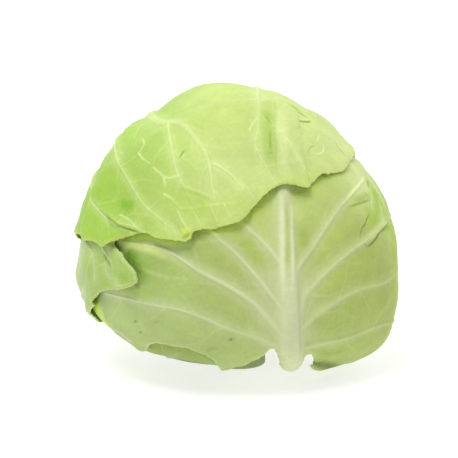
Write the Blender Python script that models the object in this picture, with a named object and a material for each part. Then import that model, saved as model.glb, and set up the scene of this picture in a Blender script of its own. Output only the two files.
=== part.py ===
"""Cabbage head, stem down: a dense heart on its cut stump, wrapped in five loose outer leaves.

Metres, +Z up, origin at the middle of the stump's cut face, the front towards -Y. Every leaf is a thin
solid laid over the round of the head: its outline and its ribs are lines on the head, and its thickness is
built outwards. A place on the head is a direction from the head's centre. It is given either on a globe, as
longitude (0 in front, 90 at +X, 180 behind) and latitude in degrees, or as it is seen from the front, in
millimetres to the right of and above the head's centre.
"""

import math

import bpy
import numpy as np
from mathutils import Vector
from mathutils.geometry import delaunay_2d_cdt

MM = 0.001

# The head's form: its radius at each latitude, its depth against its width, and where it swells or falls in.
CENTRE_HEIGHT = 70.0 * MM
NOMINAL_RADIUS = 85.0 * MM
PROFILE_LATITUDES = (-90, -75, -60, -45, -30, -15, 0, 20, 40, 60, 75, 90)
PROFILE_RADII_MM = (59, 61.5, 68, 78.5, 86.5, 86, 83, 80.5, 79, 80, 82, 82.5)
DEPTH_SHARE = 0.97
# Longitude, latitude, height in millimetres, spread in degrees.
SWELLINGS = (
    (80, -42, 9.8, 22),
    (-92, -20, 2.5, 25),
    (98, 38, -4.5, 22),
    (114, 62, -1.5, 18),
    (-100, 38, 3.0, 22),
    (-128, 71, 3.0, 13),
    (0, 15, 2.0, 40),
    (-80, -41, -3.5, 15),
    (-68, -58, 2.2, 12),
)

# The front view: how far the eye stands off, and how high above level it looks from.
EYE_DISTANCE = 1.1
EYE_TILT = math.radians(12)

# The leaves: thickness inside and at the edge, the air between two, how softly one lies over the rim of
# another, and the waves along their edges.
LEAF_THICKNESS = 1.2 * MM
EDGE_THICKNESS = 0.8 * MM
EDGE_TAPER = 14.0 * MM
LEAF_GAP = 0.8 * MM
LAP_SOFTNESS = 14.0 * MM
BRIDGE_WIDTH = 11.0 * MM
LEAST_OFFSET = 2.0 * MM
RIB_END_ROUNDING = 7.0 * MM
WAVE_HEIGHT = 1.1 * MM
WAVE_LENGTH = 30.0 * MM
WAVE_REACH = 14.0 * MM

# How finely the solids are cut up.
EDGE_STEP = 7.5 * MM
RIB_STEP = 10.0 * MM
BLADE_STEP = 12.5 * MM
CLEAR_OF_EDGE = 4.5 * MM
CLEAR_OF_RIB = 4.0 * MM

STUMP_RADIUS = 15.0 * MM
STUMP_HEIGHT = 13.0 * MM
STUMP_BEVEL = 1.5 * MM
STUMP_SIDES = 32
HEART_CLEARANCE = 0.9 * MM
HEART_FOLD_DEPTH = 1.6 * MM
HEART_HOLLOW_DEPTH = 5.0 * MM
HEART_RINGS = 22
HEART_SIDES = 40
PART_GAP = 0.3 * MM

# Linear colour, roughness.
LOOKS = {
    "heart": ((0.62, 0.72, 0.30), 0.45),
    "stump": ((0.62, 0.62, 0.40), 0.60),
    "under_leaf": ((0.34, 0.44, 0.12), 0.42),
    "right_leaf": ((0.42, 0.54, 0.16), 0.42),
    "front_leaf": ((0.44, 0.53, 0.16), 0.42),
    "left_leaf": ((0.49, 0.60, 0.24), 0.42),
    "crown_leaf": ((0.54, 0.70, 0.18), 0.40),
}


def globe(longitude, latitude):
    """The direction to this longitude and latitude, in degrees."""
    lon, lat = math.radians(longitude), math.radians(latitude)
    return np.array((math.sin(lon) * math.cos(lat), -math.cos(lon) * math.cos(lat), math.sin(lat)))


def unit(vectors):
    return vectors / np.linalg.norm(vectors, axis=-1, keepdims=True)


def ease(share):
    """0 to 1 with a soft start and end."""
    share = np.clip(share, 0, 1)
    return share * share * (3 - 2 * share)


def head_radius(directions):
    """The radius of the heap of inner leaves that the loose ones lie on."""
    latitude = np.degrees(np.arcsin(np.clip(directions[..., 2], -1, 1)))
    knots = np.array(PROFILE_LATITUDES, float)
    radii = np.array(PROFILE_RADII_MM) * MM
    slopes = np.gradient(radii, knots)
    k = np.clip(np.searchsorted(knots, latitude) - 1, 0, len(knots) - 2)
    span = knots[k + 1] - knots[k]
    t = (latitude - knots[k]) / span
    radius = (
        (2 * t**3 - 3 * t**2 + 1) * radii[k]
        + (t**3 - 2 * t**2 + t) * span * slopes[k]
        + (3 * t**2 - 2 * t**3) * radii[k + 1]
        + (t**3 - t**2) * span * slopes[k + 1]
    )
    radius = radius * (1 - (1 - DEPTH_SHARE) * directions[..., 1] ** 2)
    for longitude, lat, height, spread in SWELLINGS:
        angle = np.degrees(np.arccos(np.clip(directions @ globe(longitude, lat), -1, 1)))
        radius = radius + height * MM * np.exp(-((angle / spread) ** 2))
    return radius


def seen(x, up, out=3.5):
    """The direction to what is seen from the front this many millimetres right of and above the centre.

    It stands this many millimetres out from the head.
    """
    right = np.array((1.0, 0.0, 0.0))
    back = np.array((0.0, -math.cos(EYE_TILT), math.sin(EYE_TILT)))
    top = np.array((0.0, math.sin(EYE_TILT), math.cos(EYE_TILT)))
    eye = back * EYE_DISTANCE
    ray = unit(right * x * MM + top * up * MM - eye)
    nearest = eye - ray * (eye @ ray)
    direction = unit(nearest)
    for _ in range(12):
        radius = float(head_radius(direction)) + out * MM
        depth = math.sqrt(max(radius**2 - float(nearest @ nearest), 0.0))
        direction = unit(nearest - ray * depth)
    return direction


def rounded(points, step, closed=False):
    """A smooth line through these flat points, with a point about every step."""
    points = [np.asarray(p, float) for p in points]
    count = len(points)
    if closed:
        knots = [points[(i - 1) % count] for i in range(count + 3)]
    else:
        knots = [2 * points[0] - points[1], *points, 2 * points[-1] - points[-2]]
    line = []
    for a, b, c, d in zip(knots, knots[1:], knots[2:], knots[3:]):
        pieces = max(1, round(np.linalg.norm(c - b) / step))
        for t in np.arange(pieces) / pieces:
            bend = (2 * a - 5 * b + 4 * c - d) * t**2 + (3 * b - a - 3 * c + d) * t**3
            line.append(0.5 * (2 * b + (c - a) * t + bend))
    if not closed:
        line.append(points[-1])
    return np.array(line)


def distance_along(points, line):
    """For each flat point: its distance to the line, and how far along its nearest place is, from 0 to 1."""
    starts, ends = line[:-1], line[1:]
    spans = ends - starts
    lengths = np.linalg.norm(spans, axis=1)
    before = np.concatenate([[0], np.cumsum(lengths)[:-1]]) / lengths.sum()
    gaps = points[:, None, :] - starts[None]
    share = np.clip((gaps * spans).sum(-1) / np.maximum((spans**2).sum(-1), 1e-18), 0, 1)
    away = np.linalg.norm(gaps - share[..., None] * spans, axis=-1)
    nearest = away.argmin(axis=1)
    rows = np.arange(len(points))
    return away[rows, nearest], before[nearest] + share[rows, nearest] * lengths[nearest] / lengths.sum()


def inside(points, loop):
    """Whether each flat point lies inside the closed loop."""
    a, b = loop, np.roll(loop, -1, axis=0)
    above = (a[None, :, 1] > points[:, None, 1]) != (b[None, :, 1] > points[:, None, 1])
    slope = (b[:, 0] - a[:, 0]) / np.where(b[:, 1] == a[:, 1], 1e-12, b[:, 1] - a[:, 1])
    crossing = a[None, :, 0] + (points[:, None, 1] - a[None, :, 1]) * slope[None]
    return (above & (points[:, None, 0] < crossing)).sum(axis=1) % 2 == 1


class Rib:
    """A rib along a line on the head: half its width and its height, in millimetres, at its root and tip."""

    def __init__(self, points, width, height, width_at_tip=0.7, height_at_tip=0.35):
        self.points = points
        self.width = np.array((width, width_at_tip)) * MM
        self.height = np.array((height, height_at_tip)) * MM

    def at(self, share):
        """Half width and height at this share of its length."""
        return (
            self.width[0] + (self.width[1] - self.width[0]) * share,
            self.height[0] + (self.height[1] - self.height[0]) * share,
        )


class Leaf:
    """One loose leaf, drawn flat about its middle by the distance and bearing from there on the head."""

    def __init__(self, name, middle, outline, ribs, below=(), lifts=()):
        self.name = name
        self.middle = middle
        self.right = unit(np.cross((0, 0, 1), middle))
        self.top = np.cross(middle, self.right)
        self.below = below
        self.lifts = lifts
        self.ribs = ribs
        self.outline = rounded(self.flat(outline), EDGE_STEP, closed=True)
        self.lines = [rounded(self.flat(rib.points), RIB_STEP) for rib in ribs]

    def flat(self, directions):
        directions = np.array(directions)
        angle = np.arccos(np.clip(directions @ self.middle, -1, 1))
        across, along = directions @ self.right, directions @ self.top
        bearing = np.hypot(across, along)
        reach = angle * NOMINAL_RADIUS / np.maximum(bearing, 1e-9)
        return np.stack([across * reach, along * reach], axis=-1)

    def directions(self, flat):
        reach = np.hypot(flat[:, 0], flat[:, 1])
        angle = (reach / NOMINAL_RADIUS)[:, None]
        bearing = (flat[:, :1] * self.right + flat[:, 1:] * self.top) / np.maximum(reach, 1e-9)[:, None]
        return np.cos(angle) * self.middle + np.sin(angle) * bearing

    def edge_distance(self, flat):
        return distance_along(flat, np.concatenate([self.outline, self.outline[:1]]))[0]

    def cover(self, directions):
        """1 over the leaf, falling softly to 0 past its edge."""
        flat = self.flat(directions)
        beyond = np.where(inside(flat, self.outline), 0, self.edge_distance(flat))
        return 1 - ease(beyond / LAP_SOFTNESS)

    def rib_height(self, flat, bridge=0.0):
        """How far the ribs stand out. The bridge widens them, as a leaf that spans them sees them."""
        height = np.zeros(len(flat))
        for rib, line in zip(self.ribs, self.lines):
            away, share = distance_along(flat, line)
            width, tall = rib.at(share)
            round_top = np.sqrt(np.clip(1 - (np.maximum(away - bridge, 0) / width) ** 2, 0, 1))
            height = np.maximum(height, tall * round_top)
        return height

    def lift(self, directions, over_waves):
        """How far the blade stands off in places: in waves along its edge, and where it curls up."""
        loop = np.concatenate([self.outline, self.outline[:1]])
        waves = max(3, round(np.linalg.norm(np.diff(loop, axis=0), axis=1).sum() / WAVE_LENGTH))
        from_edge, share = distance_along(self.flat(directions), loop)
        wave = 1 if over_waves else 0.5 - 0.5 * np.cos(2 * math.pi * waves * share)
        total = WAVE_HEIGHT * wave * (1 - ease(from_edge / WAVE_REACH))
        for place, height, spread in self.lifts:
            away = np.arccos(np.clip(directions @ place, -1, 1)) * NOMINAL_RADIUS
            total += height * MM * np.exp(-((away / (spread * MM)) ** 2))
        return total

    def offset(self, directions, over_waves=False):
        """How far the leaf's inner face lies out from the head, over the leaves below it.

        A leaf above counts it as standing as high all along its edge as it does on a wave.
        """
        least = LEAST_OFFSET if self.below else 0.0
        offset = np.full(len(directions), least)
        for lower in self.below:
            flat = lower.flat(directions)
            top = lower.offset(directions, True) + LEAF_THICKNESS + LEAF_GAP
            top = top + lower.rib_height(flat, BRIDGE_WIDTH)
            offset = np.maximum(offset, least + (top - least) * lower.cover(directions))
        return offset + self.lift(directions, over_waves)

    def spindles(self):
        """Each rib's crest and its two feet, as flat lines that meet at both ends."""
        lines = []
        for rib, crest in zip(self.ribs, self.lines):
            heading = np.gradient(crest, axis=0)
            side = unit(np.stack([-heading[:, 1], heading[:, 0]], axis=-1))
            width, _ = rib.at(np.linspace(0, 1, len(crest)))
            width[[0, -1]] = 0
            lines += [crest, (crest + side * width[:, None])[1:-1], (crest - side * width[:, None])[1:-1]]
        return lines

    def triangles(self):
        """The leaf cut into triangles along its outline and its ribs: (flat points, triangles)."""
        points = list(self.outline)
        links = []
        for line in self.spindles():
            kept = inside(line, self.outline) & (self.edge_distance(line) > CLEAR_OF_EDGE)
            start = len(points)
            line = line[kept]
            points += list(line)
            links += [(start + i, start + i + 1) for i in range(len(line) - 1)]
        low, high = self.outline.min(axis=0), self.outline.max(axis=0)
        row_step = BLADE_STEP * math.sqrt(3) / 2
        grid = []
        for row, y in enumerate(np.arange(low[1], high[1], row_step)):
            shift = BLADE_STEP / 2 * (row % 2)
            grid += [(x, y) for x in np.arange(low[0] + shift, high[0], BLADE_STEP)]
        grid = np.array(grid)
        keep = inside(grid, self.outline) & (self.edge_distance(grid) > CLEAR_OF_EDGE)
        taken = np.array(points)[len(self.outline):]
        if len(taken):
            nearest = np.linalg.norm(grid[:, None] - taken[None], axis=-1).min(axis=1)
            keep &= nearest > CLEAR_OF_RIB
        points += list(grid[keep])
        rim = [list(range(len(self.outline)))]
        found = delaunay_2d_cdt([Vector(p) for p in points], links, rim, 1, 1e-7)
        flat = np.array([tuple(p) for p in found[0]])
        return flat, [tuple(face) for face in found[2]]

    def mesh(self):
        flat, faces = self.triangles()
        if signed_area(flat[list(faces[0])]) < 0:
            faces = [face[::-1] for face in faces]
        directions = self.directions(flat)
        inner = head_radius(directions) + self.offset(directions)
        from_edge = self.edge_distance(flat)
        thickness = EDGE_THICKNESS + (LEAF_THICKNESS - EDGE_THICKNESS) * ease(from_edge / EDGE_TAPER)
        rib_end = np.clip(from_edge / RIB_END_ROUNDING, 0, 1)
        outer = inner + thickness + self.rib_height(flat) * np.sqrt(1 - (1 - rib_end) ** 2)
        count = len(flat)
        corners = np.concatenate([directions * outer[:, None], directions * inner[:, None]])
        corners[:, 2] += CENTRE_HEIGHT
        sides = {}
        for face in faces:
            for a, b in zip(face, face[1:] + face[:1]):
                sides[(a, b)] = True
        rim = [(a, b) for a, b in sides if (b, a) not in sides]
        shell = list(faces)
        shell += [tuple(count + v for v in reversed(face)) for face in faces]
        for a, b in rim:
            shell += [(b, a, count + a), (b, count + a, count + b)]
        return corners, shell


def signed_area(loop):
    x, y = loop[:, 0], loop[:, 1]
    return 0.5 * float((x * np.roll(y, -1) - np.roll(x, -1) * y).sum())


def under_leaf():
    """The lowest leaf on the left, seen below the front leaf's edge."""
    outline = [
        globe(-60, -74), globe(-51, -68), globe(-28, -64), globe(-9, -53), globe(-8, -38), globe(-32, -12),
        globe(-60, -4), globe(-82, -8), globe(-92, -20), globe(-92, -36), globe(-84, -54), globe(-69, -68),
    ]
    ribs = [
        Rib([globe(-60, -70), globe(-62, -45), globe(-65, -20)], 5.0, 2.6),
        Rib([globe(-66, -56), globe(-75, -44), globe(-85, -35)], 1.8, 0.9),
        Rib([globe(-67, -40), globe(-77, -26), globe(-84, -17)], 1.6, 0.8),
        Rib([globe(-54, -54), globe(-42, -44), globe(-28, -34)], 1.8, 0.9),
    ]
    return Leaf("under_leaf", globe(-58, -38), outline, ribs)


def right_leaf():
    """The leaf round the right side and the back, between the front leaf and the crown leaf."""
    outline = [
        globe(125, -73), globe(132, -67), globe(150, -56), globe(165, -35), globe(172, -5), globe(165, 22),
        globe(140, 34), globe(115, 32), globe(96, 20), globe(80, 2), globe(74, -20), globe(80, -45),
        globe(100, -60), globe(118, -67),
    ]
    ribs = [
        Rib([globe(125, -69), globe(125, -35), globe(124, 0), globe(122, 24)], 6.0, 3.4),
        Rib([globe(117, -46), globe(108, -30), globe(96, -18)], 1.8, 1.0),
        Rib([globe(118, -22), globe(109, -8), globe(96, 4)], 1.8, 1.0),
        Rib([globe(121, -2), globe(113, 10), globe(104, 18)], 1.5, 0.8),
        Rib([globe(133, -46), globe(143, -32), globe(155, -22)], 1.8, 1.0),
        Rib([globe(131, -18), globe(142, -4), globe(156, 8)], 1.8, 1.0),
        Rib([globe(127, 6), globe(138, 18), globe(152, 25)], 1.5, 0.8),
    ]
    return Leaf("right_leaf", globe(122, -8), outline, ribs)


def front_leaf(below):
    """The broad leaf in front, with its thick midrib running down to a rounded foot beside the stump."""
    lower_left = [
        globe(13, -27.8), globe(11, -29.5), globe(7, -33), globe(4.5, -35.5), globe(0, -40),
        globe(-4.5, -43), globe(-9, -43), globe(-10.2, -35.5), globe(-13.2, -31), globe(-18.5, -28),
        globe(-24.5, -27), globe(-31, -27.5), globe(-36.5, -28.5), globe(-42.5, -33.5),
        globe(-47.8, -33.8), globe(-53, -31), globe(-55.8, -27.5), globe(-56, -23.3), globe(-58.2, -22.5),
        seen(-76.5, -40.5, 5), seen(-78.5, -37, 5), seen(-79.5, -32, 5), seen(-79, -26, 5),
    ]
    hidden = [
        globe(-71, -12), globe(-67, -1), globe(-70, 10), globe(-70, 26), globe(-58, 45), globe(-35, 60),
        globe(0, 68), globe(40, 66), globe(75, 58), globe(98, 46), globe(108, 28), globe(108, 5),
        globe(104, -20), globe(96, -38), globe(84, -48), globe(70, -53),
    ]
    lower_right = [globe(64, -56), globe(57, -54), globe(49, -51), globe(40.5, -43), globe(33.5, -35.5)]
    foot = [
        globe(30, -34), globe(30.5, -38.5), globe(31.5, -42.5), globe(30, -46), globe(26, -47.5),
        globe(21.5, -44), globe(19.3, -39.5), globe(16.8, -34.5),
    ]
    ribs = [
        Rib(
            [
                globe(27, -47.5), globe(25.5, -42), seen(28, -59), seen(27.5, -49.5), seen(26.9, -33),
                seen(25.9, -13.8), seen(24.8, 8.3), seen(24.2, 28.6), seen(22, 55), seen(21.5, 71),
            ],
            7.6, 5.0, 1.2, 0.8,
        ),
        Rib(
            [
                seen(26, -61.5), seen(15, -55.5), seen(-5, -49.2), seen(-30.3, -39.1), seen(-60.5, -32.5),
                seen(-75, -29),
            ],
            2.2, 1.2,
        ),
        Rib(
            [
                seen(26, -54), seen(16, -43), seen(7.5, -34), seen(-6, -25), seen(-22.6, -16.5),
                seen(-41.8, -5), seen(-65.5, -0.3),
            ],
            2.8, 1.9,
        ),
        Rib(
            [
                seen(25.5, -40), seen(18, -30.5), seen(8.8, -18.7), seen(-2.8, -6), seen(-14.9, 5),
                seen(-36.9, 33),
            ],
            2.0, 1.2,
        ),
        Rib([seen(25, -16.5), seen(18.5, -6.5), seen(9, 3.5), seen(2.2, 9.9), seen(-14.3, 38.5)], 2.2, 1.3),
        Rib(
            [
                seen(28.5, -23), seen(34, -12), seen(40.5, -3.5), seen(50.6, 11.6), seen(60.5, 24.2),
                seen(69.9, 34.1),
            ],
            2.2, 1.3,
        ),
        Rib(
            [
                seen(29.5, -49), seen(33, -40.5), seen(36.5, -29.5), seen(50.5, -15), seen(64.4, -3.9),
                seen(75.9, 4.4), globe(96, 10),
            ],
            2.6, 1.5,
        ),
        Rib(
            [
                seen(29.5, -53), seen(38, -45), seen(49.3, -36.6), seen(65.7, -27.8), seen(84, -21),
                globe(100, -6),
            ],
            2.0, 1.1,
        ),
        Rib(
            [seen(29.5, -62), seen(40, -58.4), seen(59.4, -54.5), seen(78.4, -46.8), globe(96, -26)],
            2.0, 1.1,
        ),
    ]
    lifts = [(seen(4, -66), 1.0, 16), (globe(57, -53), 2.6, 12)]
    outline = lower_left + hidden + lower_right + foot
    return Leaf("front_leaf", seen(10, -5), outline, ribs, below, lifts)


def left_leaf(below):
    """The leaf round the left side, whose torn edge shows as a flap over the front leaf."""
    def over(x, up):
        return seen(x, up, 6)

    flap = [
        over(-70.4, -0.6), over(-69.3, -3.3), over(-64.4, -6.9), over(-63.3, -8.8), over(-61, -12.1),
        over(-57.3, -16.8), over(-56.1, -21), over(-57, -23.8), over(-65.8, -26.9), over(-75.5, -28),
        over(-78.5, -30.5), over(-80.5, -33.5), over(-82, -36),
    ]
    hidden = [
        globe(-95, -33), globe(-110, -44), globe(-122, -62), globe(-130, -69), globe(-138, -73),
        globe(-146, -68), globe(-155, -55), globe(-168, -35), globe(180, -8), globe(180, 16),
        globe(-168, 36), globe(-135, 46), globe(-95, 44), globe(-72, 32), globe(-60, 16), over(-64, 8),
    ]
    ribs = [
        Rib(
            [
                globe(-138, -69), globe(-136, -40), globe(-128, -12), globe(-108, 6), over(-84, -3),
                over(-79, -22),
            ],
            6.0, 3.4,
        ),
        Rib([globe(-128, 4), globe(-104, 18), over(-77, -3.3), over(-74, -17.6), over(-66, -24)], 1.8, 1.0),
        Rib([globe(-127, -48), globe(-112, -30), over(-85, -26)], 1.8, 1.0),
        Rib([globe(-143, -45), globe(-156, -28), globe(-170, -16)], 1.8, 1.0),
        Rib([globe(-140, -18), globe(-152, 2), globe(-168, 14)], 1.8, 1.0),
    ]
    lifts = [(over(-58, -18), 2.4, 12)]
    return Leaf("left_leaf", globe(-122, -8), flap + hidden, ribs, below, lifts)


def crown_leaf(below):
    """The big leaf that rises behind, closes over the crown and ends in a waved edge across the front."""
    def over(x, up):
        return seen(x, up, 7)

    front_edge = [
        over(-87.5, 1.6), over(-82, 0), over(-74.3, -3.3), over(-70.4, -1.1), over(-60, 2.8),
        over(-52.8, 4.4), over(-46.2, 1.9), over(-38, 0.6), over(-30.8, -0.3), over(-27, 1.4),
        over(-25.3, 5.2), over(-19.8, 6.6), over(-13.2, 7.2), over(-1.7, 10.2), over(3.9, 14.3),
        over(11, 22.6), over(20.9, 30.3), over(26.4, 31.1), over(34.7, 29.2), over(39.1, 30.3),
        over(46.2, 37.4), over(51.2, 38), over(60, 41), globe(80, 38),
    ]
    hidden = [
        globe(98, 38), globe(113, 30), globe(122, 14), globe(130, -4), globe(140, -24), globe(152, -44),
        globe(167, -60), globe(172, -68), globe(180, -73), globe(-172, -68), globe(-165, -58),
        globe(-148, -40), globe(-130, -22), globe(-112, -10),
    ]
    ribs = [
        Rib(
            [
                globe(180, -69), globe(-178, -40), globe(-176, -10), globe(-167, 18), globe(-150, 36),
                globe(-128, 47), over(-49, 70), over(-29.7, 63.3), over(-18.2, 46.8), over(-14.9, 27.5),
                over(-10.5, 14),
            ],
            7.0, 4.2, 0.8, 0.5,
        ),
        Rib(
            [over(-40, 66.5), over(-38, 50.6), over(-35.2, 38.5), over(-28.6, 24.8), over(-20.9, 11)],
            1.4, 0.8,
        ),
        Rib(
            [
                globe(-156, 27), globe(-125, 38), over(-69.3, 49.5), over(-57.2, 24.8), over(-46.2, 13.8),
                over(-35, 5),
            ],
            2.2, 1.2,
        ),
        Rib([globe(-166, 4), globe(-130, 22), over(-83, 28.6), over(-72, 12.1), over(-54, 6.5)], 2.2, 1.3),
        Rib([globe(-170, -24), globe(-142, -8), globe(-112, 2)], 2.0, 1.1),
        Rib([globe(-172, -48), globe(-156, -34), globe(-138, -22)], 1.8, 1.0),
        Rib([over(-15, 44), over(-6, 38.5), over(3.3, 27.5), over(6.5, 20.8)], 1.2, 0.7),
        Rib(
            [
                globe(-152, 41), globe(175, 62), globe(150, 77), over(11, 70.4), over(9.4, 52.3),
                over(19, 33.5),
            ],
            2.0, 1.1,
        ),
        Rib([over(14, 68), over(25.3, 58.3), over(31.9, 48.4), over(38, 36)], 1.2, 0.7),
        Rib([globe(-168, 25), globe(170, 42), globe(135, 54), globe(104, 42)], 2.0, 1.1),
        Rib([globe(177, 0), globe(160, 14), globe(140, 22), globe(118, 18)], 2.0, 1.1),
        Rib([globe(174, -27), globe(162, -16), globe(148, -8), globe(134, -8)], 1.8, 1.0),
        Rib([globe(172, -50), globe(164, -38), globe(152, -32)], 1.6, 0.9),
    ]
    lifts = [
        (over(-45, 2), 3.0, 13), (over(-30, 1), 1.6, 9), (over(-72, -2), 1.0, 9), (over(6, 18), 1.6, 12),
        (over(36, 30), 1.2, 10),
    ]
    return Leaf("crown_leaf", globe(-150, 62), front_edge + hidden, ribs, below, lifts)


def heart_mesh():
    """The dense inner head. Its leaves lap over each other in spiral folds, and below it draws in."""
    folds, twist = 5, 1.6
    corners = [(0, 0, -1)]
    for ring in range(1, HEART_RINGS):
        latitude = -90 + 180 * ring / HEART_RINGS
        corners += [globe(360 * side / HEART_SIDES, latitude) for side in range(HEART_SIDES)]
    corners.append((0, 0, 1))
    directions = np.array(corners, float)
    longitude = np.arctan2(directions[:, 0], -directions[:, 1])
    turn = (folds * longitude / (2 * math.pi) + twist * directions[:, 2]) % 1.0
    lap = np.where(turn < 0.85, turn / 0.85, (1 - turn) / 0.15)
    fade = np.sqrt(np.clip(1 - directions[:, 2] ** 2, 0, 1))
    radius = head_radius(directions) - HEART_CLEARANCE - HEART_FOLD_DEPTH * (1 - lap * fade)
    radius -= HEART_HOLLOW_DEPTH * ease((-directions[:, 2] - 0.35) / 0.4)
    corners = directions * radius[:, None]
    corners[:, 2] += CENTRE_HEIGHT
    lid = STUMP_HEIGHT + PART_GAP
    corners[:, 2] = np.maximum(corners[:, 2], lid)
    faces = []
    last = len(corners) - 1
    top = 1 + (HEART_RINGS - 2) * HEART_SIDES
    for side in range(HEART_SIDES):
        after = (side + 1) % HEART_SIDES
        faces.append((0, 1 + after, 1 + side))
        faces.append((last, top + side, top + after))
        for ring in range(HEART_RINGS - 2):
            a, b = 1 + ring * HEART_SIDES + side, 1 + ring * HEART_SIDES + after
            faces += [(a, b, b + HEART_SIDES), (a, b + HEART_SIDES, a + HEART_SIDES)]
    return corners, faces


def material(name):
    colour, roughness = LOOKS[name]
    made = bpy.data.materials.new(name)
    made.use_nodes = True
    shader = made.node_tree.nodes["Principled BSDF"]
    shader.inputs["Base Color"].default_value = (*colour, 1)
    shader.inputs["Roughness"].default_value = roughness
    shader.inputs["Metallic"].default_value = 0
    made.diffuse_color = (*colour, 1)
    return made


def add_solid(name, corners, faces):
    mesh = bpy.data.meshes.new(name)
    mesh.from_pydata([tuple(map(float, corner)) for corner in corners], [], faces)
    mesh.materials.append(material(name))
    mesh.shade_smooth()
    mesh.set_sharp_from_angle(angle=math.radians(40))
    solid = bpy.data.objects.new(name, mesh)
    bpy.context.scene.collection.objects.link(solid)
    return solid


def add_stump():
    """The stem, cut flat below the lowest leaves. The head rests on the cut."""
    bpy.ops.mesh.primitive_cylinder_add(vertices=STUMP_SIDES, radius=STUMP_RADIUS, depth=STUMP_HEIGHT)
    stump = bpy.context.object
    stump.name = stump.data.name = "stump"
    stump.location.z = STUMP_HEIGHT / 2
    stump.data.materials.append(material("stump"))
    bevel = stump.modifiers.new("rounded_rim", "BEVEL")
    bevel.width = STUMP_BEVEL
    bevel.segments = 2
    bevel.limit_method = "ANGLE"
    return stump


def main():
    for old in list(bpy.data.objects):
        bpy.data.objects.remove(old)
    under, right = under_leaf(), right_leaf()
    front = front_leaf([under, right])
    left = left_leaf([under, right, front])
    crown = crown_leaf([right, front, left])
    for leaf in (under, right, front, left, crown):
        add_solid(leaf.name, *leaf.mesh())
    add_solid("heart", *heart_mesh())
    add_stump()


main()
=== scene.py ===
"""Looks of the cabbage head: finely modelled leaves, heart and stump in the place of the plain solids.

The head's form and the leaves' outlines and ribs follow the same formulas and lines as the solids. What is
added is finer: veins that branch off the ribs, puffed panels, ragged edges, folds, cuts and scars, and each
leaf's colours, with painted shade, shadows and highlights among them.
"""

import math

import bpy
import numpy as np
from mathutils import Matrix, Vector
from mathutils.geometry import delaunay_2d_cdt


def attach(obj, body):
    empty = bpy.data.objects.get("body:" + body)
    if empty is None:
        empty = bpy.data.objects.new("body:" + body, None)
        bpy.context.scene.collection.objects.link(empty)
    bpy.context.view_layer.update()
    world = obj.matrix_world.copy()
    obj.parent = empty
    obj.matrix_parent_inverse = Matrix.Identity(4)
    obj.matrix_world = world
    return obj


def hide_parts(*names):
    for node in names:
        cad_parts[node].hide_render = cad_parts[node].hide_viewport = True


MM = 0.001

# The head's form, as in the solids.
CENTRE_HEIGHT = 70.0 * MM
NOMINAL_RADIUS = 85.0 * MM
PROFILE_LATITUDES = (-90, -75, -60, -45, -30, -15, 0, 20, 40, 60, 75, 90)
PROFILE_RADII_MM = (59, 61.5, 68, 78.5, 86.5, 86, 83, 80.5, 79, 80, 82, 82.5)
DEPTH_SHARE = 0.97
# Longitude, latitude, height in millimetres, spread in degrees.
SWELLINGS = (
    (80, -42, 9.8, 22),
    (-92, -20, 2.5, 25),
    (98, 38, -4.5, 22),
    (114, 62, -1.5, 18),
    (-100, 38, 3.0, 22),
    (-128, 71, 3.0, 13),
    (0, 15, 2.0, 40),
    (-80, -41, -3.5, 15),
    (-68, -58, 2.2, 12),
)
LEAF_THICKNESS = 1.2 * MM
LEAF_GAP = 0.8 * MM
LAP_SOFTNESS = 14.0 * MM
BRIDGE_WIDTH = 11.0 * MM
LEAST_OFFSET = 2.0 * MM
WAVE_HEIGHT = 1.1 * MM
WAVE_LENGTH = 30.0 * MM
WAVE_REACH = 14.0 * MM
FORM_STEP = 7.5 * MM

# The camera, and the plane through the head's centre that the picture shows.
EYE_DISTANCE = 1.1
EYE_TILT = math.radians(12)
PICTURE_WIDTH = 251.9 * MM
PICTURE_CENTRE = (-5.5 * MM, 6.05 * MM)
SENSOR_WIDTH = 36.0

# How finely the leaves are cut up.
EDGE_STEP = 1.5 * MM
ROW_STEP = 1.1 * MM
BLADE_STEP = 2.3 * MM
HIDDEN_STEP = 5.0 * MM
LEAST_SPACING = 0.45 * MM
EDGE_ROWS = (0.7, 1.8, 3.4)

THIN_EDGE = 0.45 * MM
EDGE_ROUNDING = 2.0 * MM
PANEL_PUFF = 0.7 * MM
PANEL_PUFF_REACH = 8.0 * MM
FORM_CLEARANCE = 1.1 * MM
UNEVENNESS = 0.22 * MM
FINE_UNEVENNESS = 0.1 * MM
CRIMP_HEIGHT = 0.45 * MM
CRIMP_REACH = 5 * MM
HIDDEN_DEPTH = 12 * MM
RIB_END_REACH = 9 * MM
VEIN_MARGIN = 1.5 * MM
VEIN_SPACING = 1.3 * MM
HEART_HOLLOW_DEPTH = 5.0 * MM


def globe(longitude, latitude):
    """The direction to this longitude and latitude, in degrees."""
    lon, lat = math.radians(longitude), math.radians(latitude)
    return np.array((math.sin(lon) * math.cos(lat), -math.cos(lon) * math.cos(lat), math.sin(lat)))


def unit(vectors):
    return vectors / np.maximum(np.linalg.norm(vectors, axis=-1, keepdims=True), 1e-12)


def ease(share):
    """0 to 1 with a soft start and end."""
    share = np.clip(share, 0, 1)
    return share * share * (3 - 2 * share)


def bell(distance, reach):
    """1 at no distance, falling softly to 0 at the reach."""
    return np.clip(1 - (distance / reach) ** 2, 0, 1) ** 2


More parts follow.
